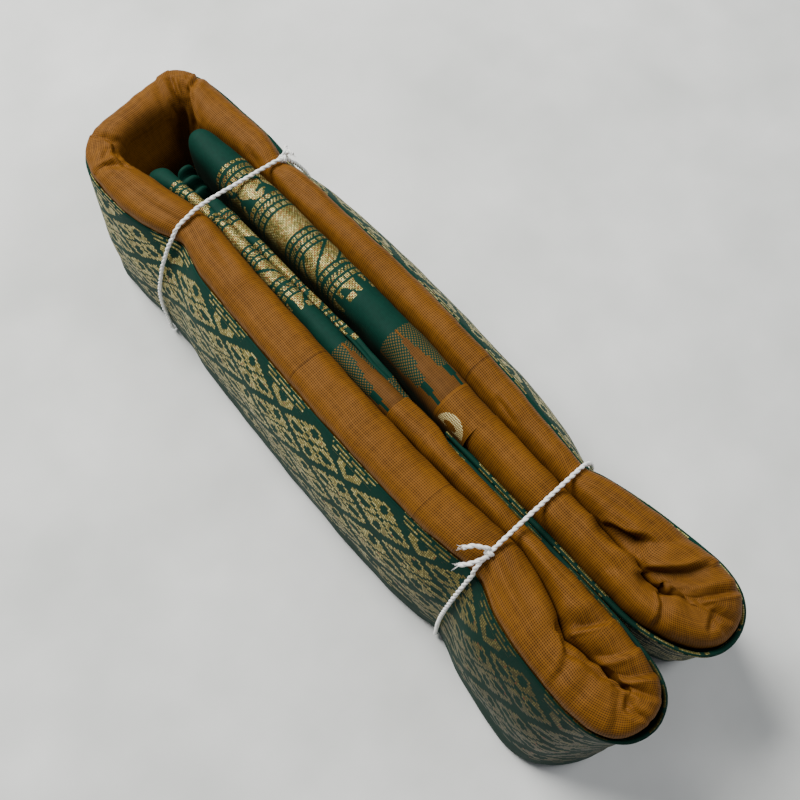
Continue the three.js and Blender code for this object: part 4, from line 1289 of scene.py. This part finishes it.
def lattice_gold(u, v):
    su = stepped(u, STITCH_ALONG)
    sv = stepped(v, STITCH_ACROSS)
    p = su / LATTICE_LENGTH + (sv - FIRST_CENTRE) / LATTICE_HEIGHT
    q = su / LATTICE_LENGTH - (sv - FIRST_CENTRE) / LATTICE_HEIGHT
    p = (p + 0.5) % 1 - 0.5
    q = (q + 0.5) % 1 - 0.5
    solid = (abs(p) < DIAMOND_HALF) & (abs(q) < DIAMOND_HALF)
    solid = solid & (abs(p) > CROSS_HALF) & (abs(q) > CROSS_HALF)
    from_u = abs((p + q) * (LATTICE_LENGTH / 2))
    from_v = abs((p - q) * (LATTICE_HEIGHT / 2))
    side_eye = (abs(from_u - SIDE_EYE_AT) * 0.5 + from_v < 2.5) & (from_v < 1.7)
    tip_eye = (from_u * 0.7 + abs(from_v - TIP_EYE_AT) < 2.7) & (from_u < 2.4)
    rounded = (from_u < DIAMOND_LONG) & (from_v < DIAMOND_TALL)
    diamonds = solid & rounded & ~(side_eye | tip_eye) & (v < PLAIN_FOOT - 1.6)
    from_band = apart(su - LATTICE_LENGTH / 2, LATTICE_LENGTH)
    in_band = (v < TOP_BAND) & (from_band / (LATTICE_LENGTH / 2) + abs(v - 1.8) / 12 < 1)
    line = (v - LINES_START) / LINE_SPACING
    broken = apart(u - LATTICE_LENGTH / 2 + line.floor() * DASH_SHIFT, DASH_PERIOD) > 0.8
    band = (line % 1 < LINE_SHARE) & (from_band < 14.4 - v * 0.55) & broken & (v > LINES_START)
    heart = (from_band < HEART_HALF - (v - 9.8) * 1.55) & (from_band < HEART_HALF)
    heart = heart & between(v, HEART_TOP, HEART_FOOT)
    heart_eye = (from_band < HEART_EYE_HALF - (v - 8.8)) & (from_band < HEART_EYE_HALF) & (v < 11.2)
    heart = heart & ~heart_eye
    near_heart = (v < 15.0) & (from_band < 8.0 - (v - 9.4) * 1.1)
    foot_dash = between(apart(su, LATTICE_LENGTH / 2), 2.2, 6.2)
    foot_line = (abs(v - PLAIN_FOOT) < 0.5) & foot_dash
    return in_band * band | (1 - (in_band | near_heart)) * diamonds | heart | foot_line


GROUND_THREAD = 0.7
GOLD_ROUGH = 0.48
GREEN_ROUGH = 0.72
GOLD_METAL = 0.35
RUSTY_ABOVE = 0.955
WORN_ABOVE = 0.52


def brocade(u, v, gold, step_u, step_v, painted_gold_shade=0.0):
    rib_u = thread_edge(u / step_u)
    rib_v = thread_edge(v / step_v)
    luck = (u / step_u).floor().chance_at((v / step_v).floor())
    worn = u.cloud(v, 4.0)
    # painted light and shade: lit is lowered by the painted shade argument, and its highest values become
    # painted glints in GOLD_GLINT
    lit = 0.6 + luck * 0.36 + worn * 0.5 - 0.25 - rib_u ** 3 * 0.5 - rib_v ** 3 * 0.6 - painted_gold_shade
    thread = (lit * 1.5 - 0.1).blend(GOLD_SHADE, GOLD)
    thread = ((lit - 0.62) * 2.6 & 1).blend(thread, GOLD_GLINT)
    rusty = (luck > RUSTY_ABOVE) & (worn > WORN_ABOVE)
    thread = (rusty * 0.75).blend(thread, RUST)
    grid = thread_edge(u / GROUND_THREAD) * thread_edge(v / GROUND_THREAD)
    ground = grid * 0.55 + u.cloud(v, 1.6) * 0.5 + u.cloud(v, 18.0) * 0.3 - 0.3
    return {
        "colour": gold.blend(ground.blend(GREEN, GREEN_SHADE), thread),
        "rough": gold * (GOLD_ROUGH - GREEN_ROUGH) + GREEN_ROUGH,
        "metal": gold * GOLD_METAL,
        "height": gold * (0.16 + 0.06 * lit) - grid * 0.03,
    }


def border_weave(u, v):
    down = v + EDGE_TAKEN
    along = sheared(u, down)
    # painted shade: the border's gold is painted darker towards the front lobe and further down from its top
    # edge
    painted_gold_shade = ramp(u, LOBE_SHADE_FROM, LOBE_SHADE_FULL) * LOBE_SHADE_AMOUNT + ramp(down, LOW_FROM, LOW_FULL) * LOW_SHADE_AMOUNT
    return brocade(along, down, lattice_gold(along, down), STITCH_ALONG, STITCH_ACROSS, painted_gold_shade)


# %% [markdown]
# ## The end piece's bands
#
# Along the end piece come groups of narrow bands, a mango, a hatched panel, a leaf between slanting
# lines, then plain green and at last the green spikes that run into the mustard. Each is a short
# formula of the distance along the cloth and the distance from the nearest repeat across it.

# %% Bands, panels and motifs
REPEAT = 13.0
ROW_MIDDLE = 85.4
DOT_ALONG = 0.55
DOT_ACROSS = 0.5
CHECK_COLUMNS = [-104.3, -97.4, -80.3, -73.8, -56.5, -50.2, -35.5, -28.7]
MOTIF_COLUMNS = [-100.7, -77.2, -53.3, -32.0]
CHECK_HALF = 0.95
MOTIF_HALF = 1.15
CHECK_REPEAT = 2.95
MANGO_BODY = (-90.0, -0.4, 5.2, 5.4)
MANGO_BEAK = (-84.7, 1.4, 2.5, 3.4)
MANGO_NECK = (-88.0, -83.5)
MANGO_CORNER = (-95.0, -91.0)
SEED_ROWS = [(-8.0, 0.9, 2.4), (5.2, 0.8, 2.0)]
SEED_PANEL = (-96.5, -84.5)
HATCHED_PANEL = (-71.6, -58.4)
LEAF_PANEL = (-48.6, -37.6)
COLUMN = (-26.6, -25.1)
FLAG = (-26.6, -19.2)
FLAG_BAR = (-21.3, -18.7)
FLAG_FOOT = (-26.6, -22.8)


def pallu_gold(u, v):
    su = stepped(u, DOT_ALONG)
    sv = stepped(v, DOT_ACROSS)
    row = (sv - ROW_MIDDLE + REPEAT / 2) % REPEAT - REPEAT / 2
    checks = apart(v - 86.4, CHECK_REPEAT) < 1.12
    strokes = apart(su * 0.8 + sv, 1.75) > 0.34
    gold = None
    for place in CHECK_COLUMNS:
        column = (abs(su - place) < CHECK_HALF) & checks
        gold = column if gold is None else gold | column
    for place in MOTIF_COLUMNS:
        gold = gold | (abs(su - place) < MOTIF_HALF) & strokes
    body = within(su, row, *MANGO_BODY)
    corner = between(su, *MANGO_CORNER) & (row + 6.4 > (su - MANGO_CORNER[0]) * 0.35) & (row < 2)
    beak = within(su, row, *MANGO_BEAK)
    beak = beak | between(su, *MANGO_NECK) & (abs(row - (su + 86) * 0.3) < 2.6)
    slit = (abs(su + 86.3 + (row - 3.0) * 0.5) < 0.75) & (row > 1.4)
    mango = (body | corner | beak) & ~slit
    for place, half_high, half_long in SEED_ROWS:
        seed = (abs(row - place) < half_high) & (apart(su - MANGO_BODY[0], 6.2) < half_long)
        gold = gold | between(su, *SEED_PANEL) & seed
    hatched = between(su, *HATCHED_PANEL)
    slant = (su + 46.0) * 1.41 + (row + ROW_MIDDLE - 91.0)
    leaf = between(su, *LEAF_PANEL) & (apart(slant, REPEAT) > 1.25)
    column = between(su, *COLUMN) & (abs(row) < 5.2)
    flag = between(su, *FLAG) & (row < 4.7) & (row > (su + 25.0) * 0.72 - 0.9)
    bar = between(su, *FLAG_BAR) & between(row, -3.4, 0.9)
    foot = between(su, *FLAG_FOOT) & between(row, -5.0, -3.2)
    return gold | mango | hatched | leaf | column | flag | bar | foot


SPIKE_BASE = 3.5
SPIKE_MIDDLE = 81.3
SPIKE_STEPS = [(9.0, 0.7), (14.6, 1.0), (20.4, 1.3), (27.0, 1.3), (33.0, 0.9), (38.4, 0.8)]
SPIKE_HALF = 6.0
EDGE_LINE = 38.9
CRESCENT = (47.6, 76.4, 6.8, 6.6)
CRESCENT_HOLLOW = (47.2, 77.6, 3.4, 1.7)
CRESCENT_FROM = 76.0


def spike_weave(u, v, green_cloth, mustard_cloth):
    from_spike = apart(stepped(v, 0.55) - SPIKE_MIDDLE, REPEAT)
    half = SPIKE_HALF
    for place, less in SPIKE_STEPS:
        half = (u > place) * (-less) + half
    green = (from_spike < half) & (u < SPIKE_STEPS[-1][0]) | (u < SPIKE_BASE)
    dash = (apart(u * 0.72 + v, 1.35) < 0.34) & (apart(u - v * 0.72, 1.45) < 0.42)
    dash = dash & between(u, SPIKE_BASE, 27.5) & green
    paler = between(u, 8.0, 38.0) * 0.55
    line = abs(u - EDGE_LINE) < 0.4
    cloth = {}
    mustard_colour = paler.blend(mustard_cloth["colour"], MUSTARD_GREY)
    cloth["colour"] = green.blend(mustard_colour, green_cloth["colour"])
    for key in ("rough", "height"):
        cloth[key] = mustard_cloth[key] * (1 - green) + green_cloth[key] * green
    cloth["colour"] = (dash * 0.85).blend(cloth["colour"], DASH)
    cloth["colour"] = (line * 0.6).blend(cloth["colour"], MUSTARD_GLINT)
    arch = (v > CRESCENT_FROM) & (u > SPIKE_STEPS[-1][0])
    arch = arch & within(u, v, *CRESCENT) & ~within(u, v, *CRESCENT_HOLLOW)
    beads = (apart(v, 0.95) < 0.3) & (apart(u + (v / 0.95 + 0.5).floor() * 0.4, 0.8) < 0.3) & arch
    cloth["colour"] = beads.blend(cloth["colour"], GOLD_GLINT)
    cloth["metal"] = green_cloth["metal"] * green
    return cloth


def pallu_weave(u, v):
    gold = pallu_gold(u, v)
    pits = (apart(u * 0.9 + v, 1.55) < 0.4) & (apart(u - v * 0.9, 1.5) < 0.42) & gold
    luck = (u / 1.1).floor().chance_at((v / 1.1).floor())
    green_cloth = brocade(u, v, gold & (u < 0), 0.8, 0.8)
    green_cloth["colour"] = (pits * 0.85).blend(green_cloth["colour"], GREEN_SHADE)
    green_cloth["colour"] = (pits & (luck > 0.55)).blend(green_cloth["colour"], RUST)
    green_cloth["height"] = green_cloth["height"] - pits * 0.06
    return spike_weave(u, v, green_cloth, mustard_weave(u, v))


# %% Cloth finishes
def cloth_finish(name, weave, sheen):
    finish = bpy.data.materials.new(name)
    finish.use_nodes = True
    tree = finish.node_tree
    tree.nodes.clear()
    start = Wire(tree)
    place = start.node("ShaderNodeUVMap", {"uv_map": "cloth"})
    u = start.node("ShaderNodeSeparateXYZ", {}, {0: place})
    v = u.sibling(1)
    made = weave(u * 1000, v * 1000)
    bump = start.node("ShaderNodeBump", {}, {"Strength": 0.7, "Distance": 0.001, "Height": made["height"]})
    # painted shade: the base colour is mixed towards the dark IN_SHADE by each point's hollow value
    hollow = start.node("ShaderNodeAttribute", {"attribute_name": "hollow"}, {}, 2)
    sockets = {
        "Base Color": hollow.blend(made["colour"], IN_SHADE),
        "Roughness": made["rough"],
        "Normal": bump,
        "Sheen Weight": sheen[0],
        "Sheen Roughness": 0.45,
        "Sheen Tint": sheen[1],
        "Specular IOR Level": 0.14,
    }
    if made["metal"] is not None:
        sockets["Metallic"] = made["metal"]
    shader = start.node("ShaderNodeBsdfPrincipled", {}, sockets)
    start.node("ShaderNodeOutputMaterial", {}, {"Surface": shader})
    print(name, "has", len(tree.nodes), "nodes")
    return finish


def dress(piece, finish):
    piece.data.materials.clear()
    piece.data.materials.append(finish)


def along_at(x, y):
    return float(body_along[np.argmin(np.hypot(body_run["out"][:, 0] - x, body_run["out"][:, 1] - y))])


CROSS_LINES = [along_at(x, y) for x, y in [(-9, -34), (65, -33), (36, 35)]]


def body_weave(u, v):
    return mustard_weave(u, v, CROSS_LINES)


dress(body, cloth_finish("mustard cloth", body_weave, MUSTARD_SHEEN))
dress(border, cloth_finish("border brocade", border_weave, GREEN_SHEEN))
pallu_finish = cloth_finish("end piece cloth", pallu_weave, GREEN_SHEEN)
for piece in (pallu_front, pallu_back, pallu_middle, pallu_tuck):
    dress(piece, pallu_finish)


def plain(name, colour, roughness):
    finish = bpy.data.materials.new(name)
    finish.use_nodes = True
    shader = finish.node_tree.nodes["Principled BSDF"]
    shader.inputs["Base Color"].default_value = colour
    shader.inputs["Roughness"].default_value = roughness
    return finish


cotton = plain("white cotton", COTTON, 0.85)
for string in strings:
    dress(string, cotton)

# %% [markdown]
# ## The studio
#
# The bundle was photographed on a pale sheet under soft daylight from the head's side. A large round
# light stands for that window and a weak one fills the shadow. The floor is far wider than the picture,
# so no edge shows, and its faint folds are two sizes of noise.

# %% The studio
FLOOR = 6.0
SKY = 0.15
AIM = (0, 0, 0.03)
KEY_PLACE = (-0.86, -0.16, 1.15)
KEY_SIZE = 0.8
KEY_POWER = 33
FILL_PLACE = (0.5, 0.66, 1.15)
FILL_SIZE = 0.6
FILL_POWER = 6.0
FOLD_LONG = 0.11
FOLD_SHORT = 0.035


def backdrop():
    finish = plain("pale backdrop", dye(226, 228, 226), 0.9)
    tree = finish.node_tree
    start = Wire(tree)
    place = start.node("ShaderNodeTexCoord", {}, {}, 3)
    x = start.node("ShaderNodeSeparateXYZ", {}, {0: place})
    y = x.sibling(1)
    folds = x.cloud(y, FOLD_LONG, 3.0) * 0.7 + x.cloud(y, FOLD_SHORT, 3.0) * 0.3
    # painted shade: the sheet is painted lighter on the folds' tops and darker between them, by the same
    # noise that bumps it
    colour = (folds * 2.4 - 0.7).blend(dye(212, 215, 211), dye(248, 249, 247))
    bump = start.node("ShaderNodeBump", {}, {"Strength": 0.12, "Distance": 0.02, "Height": folds})
    shader = tree.nodes["Principled BSDF"]
    tree.links.new(colour.socket, shader.inputs["Base Color"])
    tree.links.new(bump.socket, shader.inputs["Normal"])
    return finish


floor_mesh = bpy.data.meshes.new("floor")
floor_mesh.from_pydata([(-FLOOR, -FLOOR, 0), (FLOOR, -FLOOR, 0), (FLOOR, FLOOR, 0), (-FLOOR, FLOOR, 0)],
                       [], [(0, 1, 2, 3)])
floor = bpy.data.objects.new("floor", floor_mesh)
bpy.context.scene.collection.objects.link(floor)
dress(floor, backdrop())

world = bpy.data.worlds.new("studio")
bpy.context.scene.world = world
world.use_nodes = True
world.node_tree.nodes["Background"].inputs["Color"].default_value = (0.9, 0.93, 1.0, 1)
world.node_tree.nodes["Background"].inputs["Strength"].default_value = SKY


def soft_light(name, place, size, power, colour):
    lamp = bpy.data.lights.new(name, "AREA")
    lamp.shape = "DISK"
    lamp.size = size
    lamp.energy = power
    lamp.color = colour
    light = bpy.data.objects.new(name, lamp)
    light.location = place
    light.rotation_euler = (Vector(AIM) - Vector(place)).to_track_quat("-Z", "Y").to_euler()
    bpy.context.scene.collection.objects.link(light)


soft_light("key", KEY_PLACE, KEY_SIZE, KEY_POWER, (1, 0.99, 0.96))
soft_light("fill", FILL_PLACE, FILL_SIZE, FILL_POWER, (0.97, 0.98, 1))
print("floor", 2 * FLOOR, "metres wide, two soft lights")
